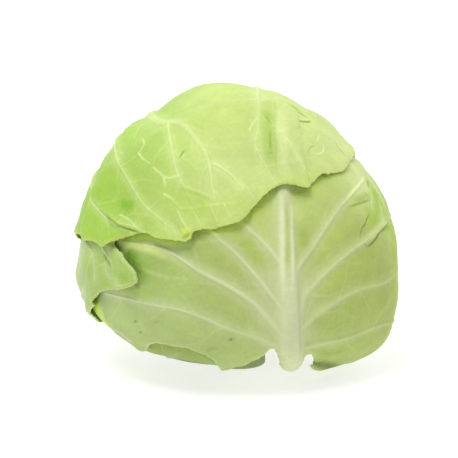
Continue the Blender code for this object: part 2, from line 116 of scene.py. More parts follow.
def head_radius(directions):
    """The radius of the heap of inner leaves that the loose ones lie on."""
    latitude = np.degrees(np.arcsin(np.clip(directions[..., 2], -1, 1)))
    knots = np.array(PROFILE_LATITUDES, float)
    radii = np.array(PROFILE_RADII_MM) * MM
    slopes = np.gradient(radii, knots)
    k = np.clip(np.searchsorted(knots, latitude) - 1, 0, len(knots) - 2)
    span = knots[k + 1] - knots[k]
    t = (latitude - knots[k]) / span
    radius = (
        (2 * t**3 - 3 * t**2 + 1) * radii[k]
        + (t**3 - 2 * t**2 + t) * span * slopes[k]
        + (3 * t**2 - 2 * t**3) * radii[k + 1]
        + (t**3 - t**2) * span * slopes[k + 1]
    )
    radius = radius * (1 - (1 - DEPTH_SHARE) * directions[..., 1] ** 2)
    for longitude, lat, height, spread in SWELLINGS:
        angle = np.degrees(np.arccos(np.clip(directions @ globe(longitude, lat), -1, 1)))
        radius = radius + height * MM * np.exp(-((angle / spread) ** 2))
    return radius


def ripple(directions, seed, waves, count=14):
    """Smooth unevenness over the head, about -1 to 1, with this many waves round it."""
    rng = np.random.default_rng(seed)
    headings = unit(rng.normal(size=(count, 3)))
    starts = rng.uniform(0, 2 * math.pi, count)
    rates = waves * rng.uniform(0.6, 1.5, count)
    return np.sin(directions @ (headings * rates[:, None]).T + starts).sum(axis=-1) / math.sqrt(count)


def form_radius(directions):
    """The head's form with its slight unevenness, which every leaf follows alike."""
    unevenness = UNEVENNESS * ripple(directions, 5, 9) + FINE_UNEVENNESS * ripple(directions, 6, 24)
    return head_radius(directions) - FORM_CLEARANCE + unevenness


def seen(x, up, out=3.5):
    """The direction to what the front view shows this many millimetres right of and above the centre.

    It stands this many millimetres out from the head.
    """
    right = np.array((1.0, 0.0, 0.0))
    back = np.array((0.0, -math.cos(EYE_TILT), math.sin(EYE_TILT)))
    top = np.array((0.0, math.sin(EYE_TILT), math.cos(EYE_TILT)))
    eye = back * EYE_DISTANCE
    ray = unit(right * x * MM + top * up * MM - eye)
    nearest = eye - ray * (eye @ ray)
    direction = unit(nearest)
    for _ in range(12):
        radius = float(head_radius(direction)) + out * MM
        depth = math.sqrt(max(radius**2 - float(nearest @ nearest), 0.0))
        direction = unit(nearest - ray * depth)
    return direction


def path(place, *numbers):
    """The places that each pair of numbers gives, such as a longitude and a latitude."""
    return [place(*pair) for pair in zip(numbers[::2], numbers[1::2])]


def rounded(points, step, closed=False):
    """A smooth line through these flat points, with a point about every step."""
    points = [np.asarray(p, float) for p in points]
    count = len(points)
    if closed:
        knots = [points[(i - 1) % count] for i in range(count + 3)]
    else:
        knots = [2 * points[0] - points[1], *points, 2 * points[-1] - points[-2]]
    line = []
    for a, b, c, d in zip(knots, knots[1:], knots[2:], knots[3:]):
        pieces = max(1, round(np.linalg.norm(c - b) / step))
        for t in np.arange(pieces) / pieces:
            bend = (2 * a - 5 * b + 4 * c - d) * t**2 + (3 * b - a - 3 * c + d) * t**3
            line.append(0.5 * (2 * b + (c - a) * t + bend))
    if not closed:
        line.append(points[-1])
    return np.array(line)


def distance_along(points, line):
    """Each flat point's distance to the line, its nearest place's share of the length, and its side, 1 or -1."""
    starts, ends = line[:-1], line[1:]
    spans = ends - starts
    lengths = np.linalg.norm(spans, axis=1)
    before = np.concatenate([[0], np.cumsum(lengths)[:-1]]) / lengths.sum()
    away, share, side = np.empty(len(points)), np.empty(len(points)), np.empty(len(points))
    for first in range(0, len(points), 4000):
        part = slice(first, first + 4000)
        gaps = points[part][:, None, :] - starts[None]
        along = np.clip((gaps * spans).sum(-1) / np.maximum((spans**2).sum(-1), 1e-18), 0, 1)
        distance = np.linalg.norm(gaps - along[..., None] * spans, axis=-1)
        nearest = distance.argmin(axis=1)
        rows = np.arange(len(nearest))
        away[part] = distance[rows, nearest]
        share[part] = before[nearest] + along[rows, nearest] * lengths[nearest] / lengths.sum()
        span, gap = spans[nearest], gaps[rows, nearest]
        side[part] = np.where(span[:, 0] * gap[:, 1] - span[:, 1] * gap[:, 0] > 0, 1, -1)
    return away, share, side


def near(points, line, reach):
    """The numbers of the flat points within reach of the line, with what distance_along gives for them."""
    low, high = line.min(axis=0) - reach, line.max(axis=0) + reach
    chosen = np.nonzero(((points > low) & (points < high)).all(axis=1))[0]
    away, share, side = distance_along(points[chosen], line)
    close = away < reach
    return chosen[close], away[close], share[close], side[close]


def inside(points, loop):
    """Whether each flat point lies inside the closed loop."""
    a, b = loop, np.roll(loop, -1, axis=0)
    found = np.empty(len(points), bool)
    slope = (b[:, 0] - a[:, 0]) / np.where(b[:, 1] == a[:, 1], 1e-12, b[:, 1] - a[:, 1])
    for first in range(0, len(points), 8000):
        x, y = points[first : first + 8000, 0, None], points[first : first + 8000, 1, None]
        above = (a[None, :, 1] > y) != (b[None, :, 1] > y)
        crossing = a[None, :, 0] + (y - a[None, :, 1]) * slope[None]
        found[first : first + 8000] = (above & (x < crossing)).sum(axis=1) % 2 == 1
    return found


def beside(line, away):
    """The line moved sideways by this much, to its left."""
    heading = unit(np.gradient(line, axis=0))
    return line + np.stack([-heading[:, 1], heading[:, 0]], axis=-1) * away


def ragged(loop, most=0.3 * MM, seed=7):
    """The closed line with its points moved sideways at random, by this much at most."""
    around = np.concatenate([loop[-1:], loop, loop[:1]])
    heading = unit(around[2:] - around[:-2])
    moved = np.random.default_rng(seed).uniform(-most, most, len(loop))
    return loop + np.stack([-heading[:, 1], heading[:, 0]], axis=-1) * moved[:, None]


class Rib:
    """A rib along a line on the head: half its width and its height in millimetres, at root and tip."""

    def __init__(
        self, points, width, height, width_at_tip=0.7, height_at_tip=0.35, shows=1.0, shows_at_tip=0.5
    ):
        self.points = points
        self.shows = (shows, shows_at_tip)
        self.crest = 0.55 if width > 4 else 0.2
        self.width = np.array((width, width_at_tip)) * MM
        self.height = np.array((height, height_at_tip)) * MM

    def at(self, share):
        """Half width and height at this share of its length."""
        return (
            self.width[0] + (self.width[1] - self.width[0]) * share,
            self.height[0] + (self.height[1] - self.height[0]) * share,
        )


class Fold:
    """A step across a leaf: the side left of its line stands up over the other, most at the line itself."""

    def __init__(self, points, height, reach=9.0):
        self.points, self.height, self.reach = points, height * MM, reach * MM


class Mark:
    """A stroke of another colour on a leaf, such as a crease, cut or scar, or painted shade, shadow or highlight,
    with its height if it stands out.
    """

    def __init__(self, points, width, colour, strength=0.8, height=0.0):
        self.points, self.colour, self.strength = points, colour, strength
        self.width, self.height = width * MM, height * MM


class Leaf:
    """One loose leaf. It is drawn flat about its middle, by its distance and bearing from there on the head."""

    def __init__(self, name, middle, outline, ribs, below=(), lifts=()):
        self.name = name
        self.middle = middle
        self.right = unit(np.cross((0, 0, 1), middle))
        self.top = np.cross(middle, self.right)
        self.below = below
        self.above = []
        self.lifts = lifts
        self.ribs = ribs
        self.folds = []
        self.marks = []
        self.outline = rounded(self.flat(outline), FORM_STEP, closed=True)
        self.edge = ragged(rounded(self.flat(outline), EDGE_STEP, closed=True))
        self.lines = [rounded(self.flat(rib.points), 4 * MM) for rib in ribs]
        self.veins = []
        self.calm_front = False
        for lower in below:
            lower.above.append(self)

    def flat(self, directions):
        directions = np.array(directions)
        angle = np.arccos(np.clip(directions @ self.middle, -1, 1))
        across, along = directions @ self.right, directions @ self.top
        bearing = np.hypot(across, along)
        reach = angle * NOMINAL_RADIUS / np.maximum(bearing, 1e-9)
        return np.stack([across * reach, along * reach], axis=-1)

    def directions(self, flat):
        reach = np.hypot(flat[:, 0], flat[:, 1])
        angle = (reach / NOMINAL_RADIUS)[:, None]
        bearing = (flat[:, :1] * self.right + flat[:, 1:] * self.top) / np.maximum(reach, 1e-9)[:, None]
        return np.cos(angle) * self.middle + np.sin(angle) * bearing

    def depth_inside(self, directions):
        """How far inside the leaf's outline each direction lies, less than 0 outside."""
        flat = self.flat(directions)
        away = distance_along(flat, np.concatenate([self.outline, self.outline[:1]]))[0]
        return np.where(inside(flat, self.outline), away, -away)

    def cover(self, directions):
        """1 over the leaf, falling softly to 0 past its edge."""
        return 1 - ease(-self.depth_inside(directions) / LAP_SOFTNESS)

    def bridged_ribs(self, directions):
        """How far the ribs stand out under a leaf that spans them."""
        flat = self.flat(directions)
        height = np.zeros(len(flat))
        for rib, line in zip(self.ribs, self.lines):
            chosen, away, share, _ = near(flat, line, rib.width[0] + BRIDGE_WIDTH)
            width, tall = rib.at(share)
            round_top = np.sqrt(np.clip(1 - (np.maximum(away - BRIDGE_WIDTH, 0) / width) ** 2, 0, 1))
            height[chosen] = np.maximum(height[chosen], tall * round_top)
        return height

    def lift(self, directions, over_waves):
        """How far the blade stands off in places: in waves along its edge, and where it curls up."""
        loop = np.concatenate([self.outline, self.outline[:1]])
        waves = max(3, round(np.linalg.norm(np.diff(loop, axis=0), axis=1).sum() / WAVE_LENGTH))
        from_edge, share, _ = distance_along(self.flat(directions), loop)
        wave = 1 if over_waves else 0.5 - 0.5 * np.cos(2 * math.pi * waves * share)
        total = WAVE_HEIGHT * wave * (1 - ease(from_edge / WAVE_REACH))
        for place, height, spread in self.lifts:
            away = np.arccos(np.clip(directions @ place, -1, 1)) * NOMINAL_RADIUS
            total += height * MM * np.exp(-((away / (spread * MM)) ** 2))
        return total

    def offset(self, directions, over_waves=False):
        """How far the leaf's inner face lies out from the head, over the leaves below it."""
        least = LEAST_OFFSET if self.below else 0.0
        offset = np.full(len(directions), least)
        for lower in self.below:
            top = lower.offset(directions, True) + LEAF_THICKNESS + LEAF_GAP + lower.bridged_ribs(directions)
            offset = np.maximum(offset, least + (top - least) * lower.cover(directions))
        return offset + self.lift(directions, over_waves)

    def grow_veins(self, seed, spacing, length, spread):
        """Side veins off every rib and finer ones off those, each ending short of the next rib or edge."""
        rng = np.random.default_rng(seed)
        taken = np.concatenate([rounded(line, MM) for line in self.lines])
        loop = np.concatenate([self.edge, self.edge[:1]])
        parents = [(line, rib.at(0.4)[0]) for rib, line in zip(self.ribs, self.lines)]
        for level in range(2):
            born = []
            for line, _ in parents:
                line = rounded(line, MM)
                start = spacing * rng.uniform(0.4, 0.9)
                turn = rng.choice((-1, 1))
                while start < len(line) - 4:
                    reach = length * 0.55**level
                    vein = self.vein_from(rng, line, int(start), turn, reach, spread, taken, loop)
                    if len(vein) > 4:
                        born.append(vein)
                    start += spacing * rng.uniform(0.35, 0.8) * (1.0, 0.8)[level]
                    turn = -turn
            for vein in born:
                faint = 0.35 if self.calm_front and self.directions(vein[:1])[0, 1] < -0.1 else 1.0
                width, tall = (0.55, 0.4)[level] * MM, faint * (0.28, 0.16)[level] * MM
                self.veins.append((vein, width, tall, faint * (0.75, 0.5)[level]))
            taken = np.concatenate([taken, *born]) if born else taken
            parents = [(vein, 0) for vein in born]

    def draw_veins(self, strokes, width=0.6, height=0.35, strength=1.0):
        """Veins along these lines, besides those that grow off the ribs."""
        for points in strokes:
            self.veins.append((rounded(self.flat(points), MM), width * MM, height * MM, strength))

    def vein_from(self, rng, line, start, turn, length, spread, taken, loop):
        heading = line[min(start + 3, len(line) - 1)] - line[start]
        angle = math.atan2(heading[1], heading[0]) + turn * math.radians(rng.uniform(*spread))
        bend = -turn * rng.uniform(0.004, 0.02)
        here, vein = line[start], [line[start]]
        for step in range(int(length * rng.uniform(0.6, 1.2))):
            angle += bend + rng.normal(0, 0.07)
            here = here + np.array((math.cos(angle), math.sin(angle))) * MM
            if step > 4 and np.linalg.norm(taken - here, axis=1).min() < VEIN_SPACING:
                vein.append(here)
                break
            vein.append(here)
        vein = np.array(vein)
        kept = inside(vein, self.edge) & (distance_along(vein, loop)[0] > VEIN_MARGIN)
        stop = int(np.argmin(kept)) if not kept.all() else len(vein)
        return vein[:stop]

    def hidden(self, flat):
        """Whether each point lies well under a leaf above."""
        directions = self.directions(flat)
        found = np.zeros(len(flat), bool)
        for upper in self.above:
            found |= upper.depth_inside(directions) > HIDDEN_DEPTH
        return found

    def points(self):
        """Points over the leaf: along its edge, beside its ribs, veins and folds, and between them."""
        loop = np.concatenate([self.edge, self.edge[:1]])
        rows = [beside(loop, side * away * MM) for away in EDGE_ROWS for side in (-1, 1)]
        for rib, line in zip(self.ribs, self.lines):
            fine = rounded(line, ROW_STEP)
            width = rib.at(np.linspace(0, 1, len(fine)))[0][:, None]
            for share in (-1.9, -1.35, -0.95, -0.6, -0.28, 0, 0.28, 0.6, 0.95, 1.35, 1.9):
                rows.append(fine + (beside(fine, 1) - fine) * width * share)
        for line, width, _, _ in self.veins:
            rows += [beside(line, width * share) for share in (-2.1, -1, 0, 1, 2.1)]
        for fold in self.folds:
            line = rounded(self.flat(fold.points), 0.8 * MM)
            rows += [beside(line, away * MM) for away in (-2, -0.9, -0.25, 0.25, 0.9, 2)]
        for mark in self.marks:
            line = rounded(self.flat(mark.points), 0.8 * MM)
            rows += [beside(line, mark.width * away) for away in (-1.6, -0.8, 0, 0.8, 1.6)]
        low, high = self.edge.min(axis=0), self.edge.max(axis=0)
        rng = np.random.default_rng(3)
        found = []
        for step in (BLADE_STEP, HIDDEN_STEP):
            y = np.arange(low[1], high[1], step * 0.866)
            x = np.arange(low[0], high[0], step)
            grid = np.stack(np.meshgrid(x, y), axis=-1)
            grid[1::2, :, 0] += step / 2
            grid = grid.reshape(-1, 2)
            found.append(grid + rng.uniform(-0.12, 0.12, grid.shape) * step)
        fine = np.concatenate(rows)
        keep = inside(fine, self.edge)
        fine = fine[keep]
        fine = fine[~self.hidden(fine)]
        _, first = np.unique(np.round(fine / LEAST_SPACING).astype(int), axis=0, return_index=True)
        fine = fine[np.sort(first)]
        blade, coarse = (grid[inside(grid, self.edge)] for grid in found)
        blade = blade[~self.hidden(blade)]
        coarse = coarse[self.hidden(coarse)]
        grid = np.concatenate([blade, coarse])
        cells = set(map(tuple, np.floor(fine / (1.2 * MM)).astype(int)))
        free = [tuple(cell) not in cells for cell in np.floor(grid / (1.2 * MM)).astype(int)]
        inner = np.concatenate([fine, grid[free]])
        inner = inner[distance_along(inner, loop)[0] > 0.5 * MM]
        return np.concatenate([self.edge, inner])

    def relief(self, flat, directions):
        """The ribs' and veins' height, the puff of panels and folds, the rib mask and the vein mask."""
        height, rib_mask, vein_mask = np.zeros(len(flat)), np.zeros(len(flat)), np.zeros(len(flat))
        nearest = np.full(len(flat), 40 * MM)
        for rib, line in zip(self.ribs, self.lines):
            chosen, away, share, _ = near(flat, line, 30 * MM)
            width, tall = rib.at(share)
            nearest[chosen] = np.minimum(nearest[chosen], np.maximum(away - width, 0))
            ridge = tall * np.clip(1 - (away / (1.45 * width)) ** 2, 0, 1) ** 1.5
            height[chosen] = np.maximum(height[chosen], ridge)
            core = 1 - ease((away / width - rib.crest) / 0.75)
            halo = 0.45 * bell(away, 2.2 * width + 3.5 * MM)
            strength = rib.shows[0] + (rib.shows[1] - rib.shows[0]) * share
            rib_mask[chosen] = np.maximum(rib_mask[chosen], strength * np.maximum(core, halo))
        for line, width, tall, strength in self.veins:
            chosen, away, share, _ = near(flat, line, 2.5 * width)
            fade = strength * (1 - 0.6 * share)
            height[chosen] = np.maximum(height[chosen], tall * (1 - 0.5 * share) * bell(away, 2.2 * width))
            vein_mask[chosen] = np.maximum(vein_mask[chosen], fade * bell(away, 1.6 * width))
        puff = PANEL_PUFF * (1 - np.exp(-((nearest / PANEL_PUFF_REACH) ** 2)))
        for fold in self.folds:
            line = rounded(self.flat(fold.points), 2 * MM)
            chosen, away, share, side = near(flat, line, 2.5 * fold.reach)
            taper = np.sqrt(np.clip(np.sin(math.pi * np.clip(share, 0, 1)), 0, 1))
            rise = fold.height * taper * np.exp(-((away / fold.reach) ** 2)) * (side > 0)
            puff[chosen] += rise
        return height, puff, rib_mask, vein_mask

    def marked(self, flat, colour):
        """The colour with the marks on it, and how far they stand out."""
        height = np.zeros(len(flat))
        for mark in self.marks:
            line = rounded(self.flat(mark.points), 2 * MM)
            chosen, away, share, _ = near(flat, line, 1.7 * mark.width)
            fade = bell(away, 1.7 * mark.width) * np.clip(6 * np.minimum(share, 1 - share), 0.35, 1)
            colour[chosen] += (linear(*mark.colour) - colour[chosen]) * (mark.strength * fade)[:, None]
            height[chosen] += mark.height * fade
        return colour, height

    def build(self, colouring):
        """The leaf as a closed mesh with its colours on it."""
        flat = self.points()
        rim = [list(range(len(self.edge)))]
        found = delaunay_2d_cdt([Vector(p) for p in flat], [], rim, 1, 1e-7)
        flat = np.array([tuple(p) for p in found[0]])
        faces = np.array([tuple(face) for face in found[2]])
        a, b, c = (flat[faces[:, i]] for i in range(3))
        turned = (b[:, 0] - a[:, 0]) * (c[:, 1] - a[:, 1]) < (b[:, 1] - a[:, 1]) * (c[:, 0] - a[:, 0])
        faces[turned] = faces[turned][:, ::-1]
        directions = self.directions(flat)
        height, puff, rib_mask, vein_mask = self.relief(flat, directions)
        loop = np.concatenate([self.edge, self.edge[:1]])
        from_edge = distance_along(flat, loop)[0]
        exposed = np.ones(len(flat))
        for upper in self.above:
            exposed *= ease(-upper.depth_inside(directions) / (8 * MM) + 0.6)
        inner = form_radius(directions) + self.offset(directions) + puff * exposed * ease(from_edge / (3 * MM))
        inner += self.ruffle(directions, from_edge) * exposed
        round_edge = np.sqrt(1 - (1 - np.clip(from_edge / EDGE_ROUNDING, 0, 1)) ** 2)
        thickness = THIN_EDGE + (LEAF_THICKNESS - THIN_EDGE) * round_edge
        rib_end = np.sqrt(1 - (1 - np.clip(from_edge / RIB_END_REACH, 0, 1)) ** 2)
        colours = colouring(self, flat, directions, rib_mask, vein_mask, from_edge)
        colours, marked = self.marked(flat, colours)
        outer = inner + thickness + np.maximum(height * rib_end + marked, -0.5 * thickness)
        corners = np.concatenate([directions * outer[:, None], directions * inner[:, None]])
        corners[:, 2] += CENTRE_HEIGHT
        count = len(flat)
        sides = np.concatenate([faces[:, [0, 1]], faces[:, [1, 2]], faces[:, [2, 0]]])
        taken = set(map(tuple, sides))
        edge = np.array([side for side in map(tuple, sides) if side[::-1] not in taken])
        strip = np.concatenate(
            [
                np.stack([edge[:, 1], edge[:, 0], edge[:, 0] + count], axis=1),
                np.stack([edge[:, 1], edge[:, 0] + count, edge[:, 1] + count], axis=1),
            ]
        )
        shell = np.concatenate([faces, faces[:, ::-1] + count, strip])
        masks = np.concatenate([rib_mask, rib_mask * 0.3])
        return add_mesh(self.name, corners, shell, np.concatenate([colours, colours]), masks)

    def ruffle(self, directions, from_edge):
        """Small crimps along the edge, all of them outwards."""
        return CRIMP_HEIGHT * (1 + ripple(directions, 11, 60)) * np.exp(-((from_edge / CRIMP_REACH) ** 2))


def linear(red, green, blue):
    """An sRGB colour of 0 to 255 as linear light."""
    colour = np.array((red, green, blue)) / 255
    return np.where(colour < 0.04045, colour / 12.92, ((colour + 0.055) / 1.055) ** 2.4)


def blended(directions, tones, spread):
    """A colour at each direction, blended from the tones at their places."""
    weights = np.zeros((len(directions), len(tones)))
    for i, (place, _) in enumerate(tones):
        away = np.arccos(np.clip(directions @ place, -1, 1)) * NOMINAL_RADIUS
        weights[:, i] = np.exp(-((away / (spread * MM)) ** 2)) + 1e-9 / (away + MM)
    weights /= weights.sum(axis=1, keepdims=True)
    return weights @ np.array([linear(*tone) for _, tone in tones])


def add_mesh(name, corners, faces, colours, masks):
    mesh = bpy.data.meshes.new(name)
    mesh.vertices.add(len(corners))
    mesh.vertices.foreach_set("co", corners.astype(np.float32).ravel())
    mesh.loops.add(len(faces) * 3)
    mesh.loops.foreach_set("vertex_index", faces.astype(np.int32).ravel())
    mesh.polygons.add(len(faces))
    mesh.polygons.foreach_set("loop_start", np.arange(0, len(faces) * 3, 3, dtype=np.int32))
    mesh.update(calc_edges=True)
    mesh.validate()
    mesh.shade_smooth()
    tint = mesh.color_attributes.new("tint", "FLOAT_COLOR", "POINT")
    opaque = np.concatenate([colours, np.ones((len(colours), 1))], axis=1)
    tint.data.foreach_set("color", opaque.astype(np.float32).ravel())
    rib = mesh.attributes.new("rib", "FLOAT", "POINT")
    rib.data.foreach_set("value", masks.astype(np.float32))
    piece = bpy.data.objects.new(name, mesh)
    bpy.context.scene.collection.objects.link(piece)
    return piece


def leaf_material(name, roughness=0.5, mottle=0.05, net=0.05):
    """A leaf's skin: its tint, clouded and speckled, with a fine net of veins and a waxy, uneven gloss."""
    made = bpy.data.materials.new(name)
    made.use_nodes = True
    nodes, links = made.node_tree.nodes, made.node_tree.links
    shader = nodes["Principled BSDF"]
    place = nodes.new("ShaderNodeTexCoord")
    tint = nodes.new("ShaderNodeAttribute")
    tint.attribute_name = "tint"
    rib = nodes.new("ShaderNodeAttribute")
    rib.attribute_name = "rib"

    def noise(scale, detail, rough=0.6):
        node = nodes.new("ShaderNodeTexNoise")
        node.inputs["Scale"].default_value = scale
        node.inputs["Detail"].default_value = detail
        node.inputs["Roughness"].default_value = rough
        links.new(place.outputs["Object"], node.inputs["Vector"])
        return node.outputs["Fac"]

    def ranged(value, low, high, to_low, to_high):
        node = nodes.new("ShaderNodeMapRange")
        node.inputs["From Min"].default_value = low
        node.inputs["From Max"].default_value = high
        node.inputs["To Min"].default_value = to_low
        node.inputs["To Max"].default_value = to_high
        links.new(value, node.inputs["Value"])
        return node.outputs["Result"]

    def maths(kind, a, b):
        node = nodes.new("ShaderNodeMath")
        node.operation = kind
        for socket, value in zip(node.inputs, (a, b)):
            if isinstance(value, (int, float)):
                socket.default_value = value
            else:
                links.new(value, socket)
        return node.outputs["Value"]

    def scaled(colour, value):
        node = nodes.new("ShaderNodeVectorMath")
        node.operation = "SCALE"
        links.new(colour, node.inputs[0])
        links.new(value, node.inputs["Scale"])
        return node.outputs["Vector"]

    def mixed(factor, a, b):
        node = nodes.new("ShaderNodeMix")
        node.data_type = "RGBA"
        links.new(factor, node.inputs["Factor"])
        for socket, value in ((node.inputs["A"], a), (node.inputs["B"], b)):
            if isinstance(value, tuple):
                socket.default_value = (*value, 1)
            else:
                links.new(value, socket)
        return node.outputs["Result"]

    clouds = ranged(noise(38, 3), 0.3, 0.7, 1 - mottle, 1 + mottle)
    grain = ranged(noise(420, 2), 0.3, 0.7, 0.965, 1.035)
    colour = scaled(tint.outputs["Color"], maths("MULTIPLY", clouds, grain))
    cells = nodes.new("ShaderNodeTexVoronoi")
    cells.feature = "DISTANCE_TO_EDGE"
    cells.inputs["Scale"].default_value = 230
    bent = nodes.new("ShaderNodeVectorMath")
    bent.operation = "ADD"
    wander = nodes.new("ShaderNodeTexNoise")
    wander.inputs["Scale"].default_value = 160
    links.new(place.outputs["Object"], wander.inputs["Vector"])
    shift = nodes.new("ShaderNodeVectorMath")
    shift.operation = "SCALE"
    shift.inputs["Scale"].default_value = 0.004
    links.new(wander.outputs["Color"], shift.inputs[0])
    links.new(place.outputs["Object"], bent.inputs[0])
    links.new(shift.outputs["Vector"], bent.inputs[1])
    links.new(bent.outputs["Vector"], cells.inputs["Vector"])
    lines = ranged(cells.outputs["Distance"], 0.0, 0.09, 1.0, 0.0)
    blade = ranged(rib.outputs["Fac"], 0.05, 0.4, 1.0, 0.0)
    lines = maths("MULTIPLY", lines, blade)
    colour = mixed(maths("MULTIPLY", lines, net), colour, tuple(linear(232, 240, 190)))
    links.new(colour, shader.inputs["Base Color"])
    links.new(ranged(noise(70, 4), 0.3, 0.7, roughness - 0.07, roughness + 0.07), shader.inputs["Roughness"])
    shader.inputs["Specular IOR Level"].default_value = 0.22
    relief = maths("ADD", maths("MULTIPLY", noise(260, 4), 0.55), maths("MULTIPLY", lines, 0.25))
    relief = maths("ADD", relief, maths("MULTIPLY", noise(95, 3), 0.9))
    bump = nodes.new("ShaderNodeBump")
    bump.inputs["Strength"].default_value = 0.55
    bump.inputs["Distance"].default_value = 0.0007
    links.new(relief, bump.inputs["Height"])
    links.new(bump.outputs["Normal"], shader.inputs["Normal"])
    return made


def under_leaf():
    """The lowest leaf on the left, seen below the front leaf's edge."""
    outline = path(
        globe, -60, -74, -51, -68, -28, -64, -9, -53, -8, -38, -32, -12, -60, -4, -82, -8, -92, -20,
        -92, -36, -84, -54, -69, -68,
    )
    ribs = [
        Rib(path(globe, -60, -70, -62, -45, -65, -20), 5.0, 2.6),
        Rib(path(globe, -66, -56, -75, -44, -85, -35), 1.8, 0.9),
        Rib(path(globe, -67, -40, -77, -26, -84, -17), 1.6, 0.8),
        Rib(path(globe, -54, -54, -42, -44, -28, -34), 1.8, 0.9),
    ]
    leaf = Leaf("under_leaf_skin", globe(-58, -38), outline, ribs)
    leaf.marks = [
        # Painted light: a bright lime streak where this leaf lies in shade under the left leaf, as if lit through
        # the thin leaf.
        Mark(path(globe, -84, -20, -79, -26, -72, -31), 2.6, (218, 238, 116), 0.8),
        # Painted shadow: a dark line along the lower edge of the strip that shows below the front leaf.
        Mark(
            path(globe, -56, -37.5, -52, -39, -47, -41, -40, -43, -29, -44, -18, -45.5, -10, -47),
            1.7, (92, 110, 48), 0.8,
        ),
    ]
    return leaf


def right_leaf():
    """The leaf round the right side and the back, between the front leaf and the crown leaf."""
    outline = path(
        globe, 125, -73, 132, -67, 150, -56, 165, -35, 172, -5, 165, 22, 140, 34, 115, 32, 96, 20, 80, 2,
        74, -20, 80, -45, 100, -60, 118, -67,
    )
    ribs = [
        Rib(path(globe, 125, -69, 125, -35, 124, 0, 122, 24), 6.0, 3.4),
        Rib(path(globe, 117, -46, 108, -30, 96, -18), 1.8, 1.0),
        Rib(path(globe, 118, -22, 109, -8, 96, 4), 1.8, 1.0),
        Rib(path(globe, 121, -2, 113, 10, 104, 18), 1.5, 0.8),
        Rib(path(globe, 133, -46, 143, -32, 155, -22), 1.8, 1.0),
        Rib(path(globe, 131, -18, 142, -4, 156, 8), 1.8, 1.0),
        Rib(path(globe, 127, 6, 138, 18, 152, 25), 1.5, 0.8),
    ]
    return Leaf("right_leaf_skin", globe(122, -8), outline, ribs)


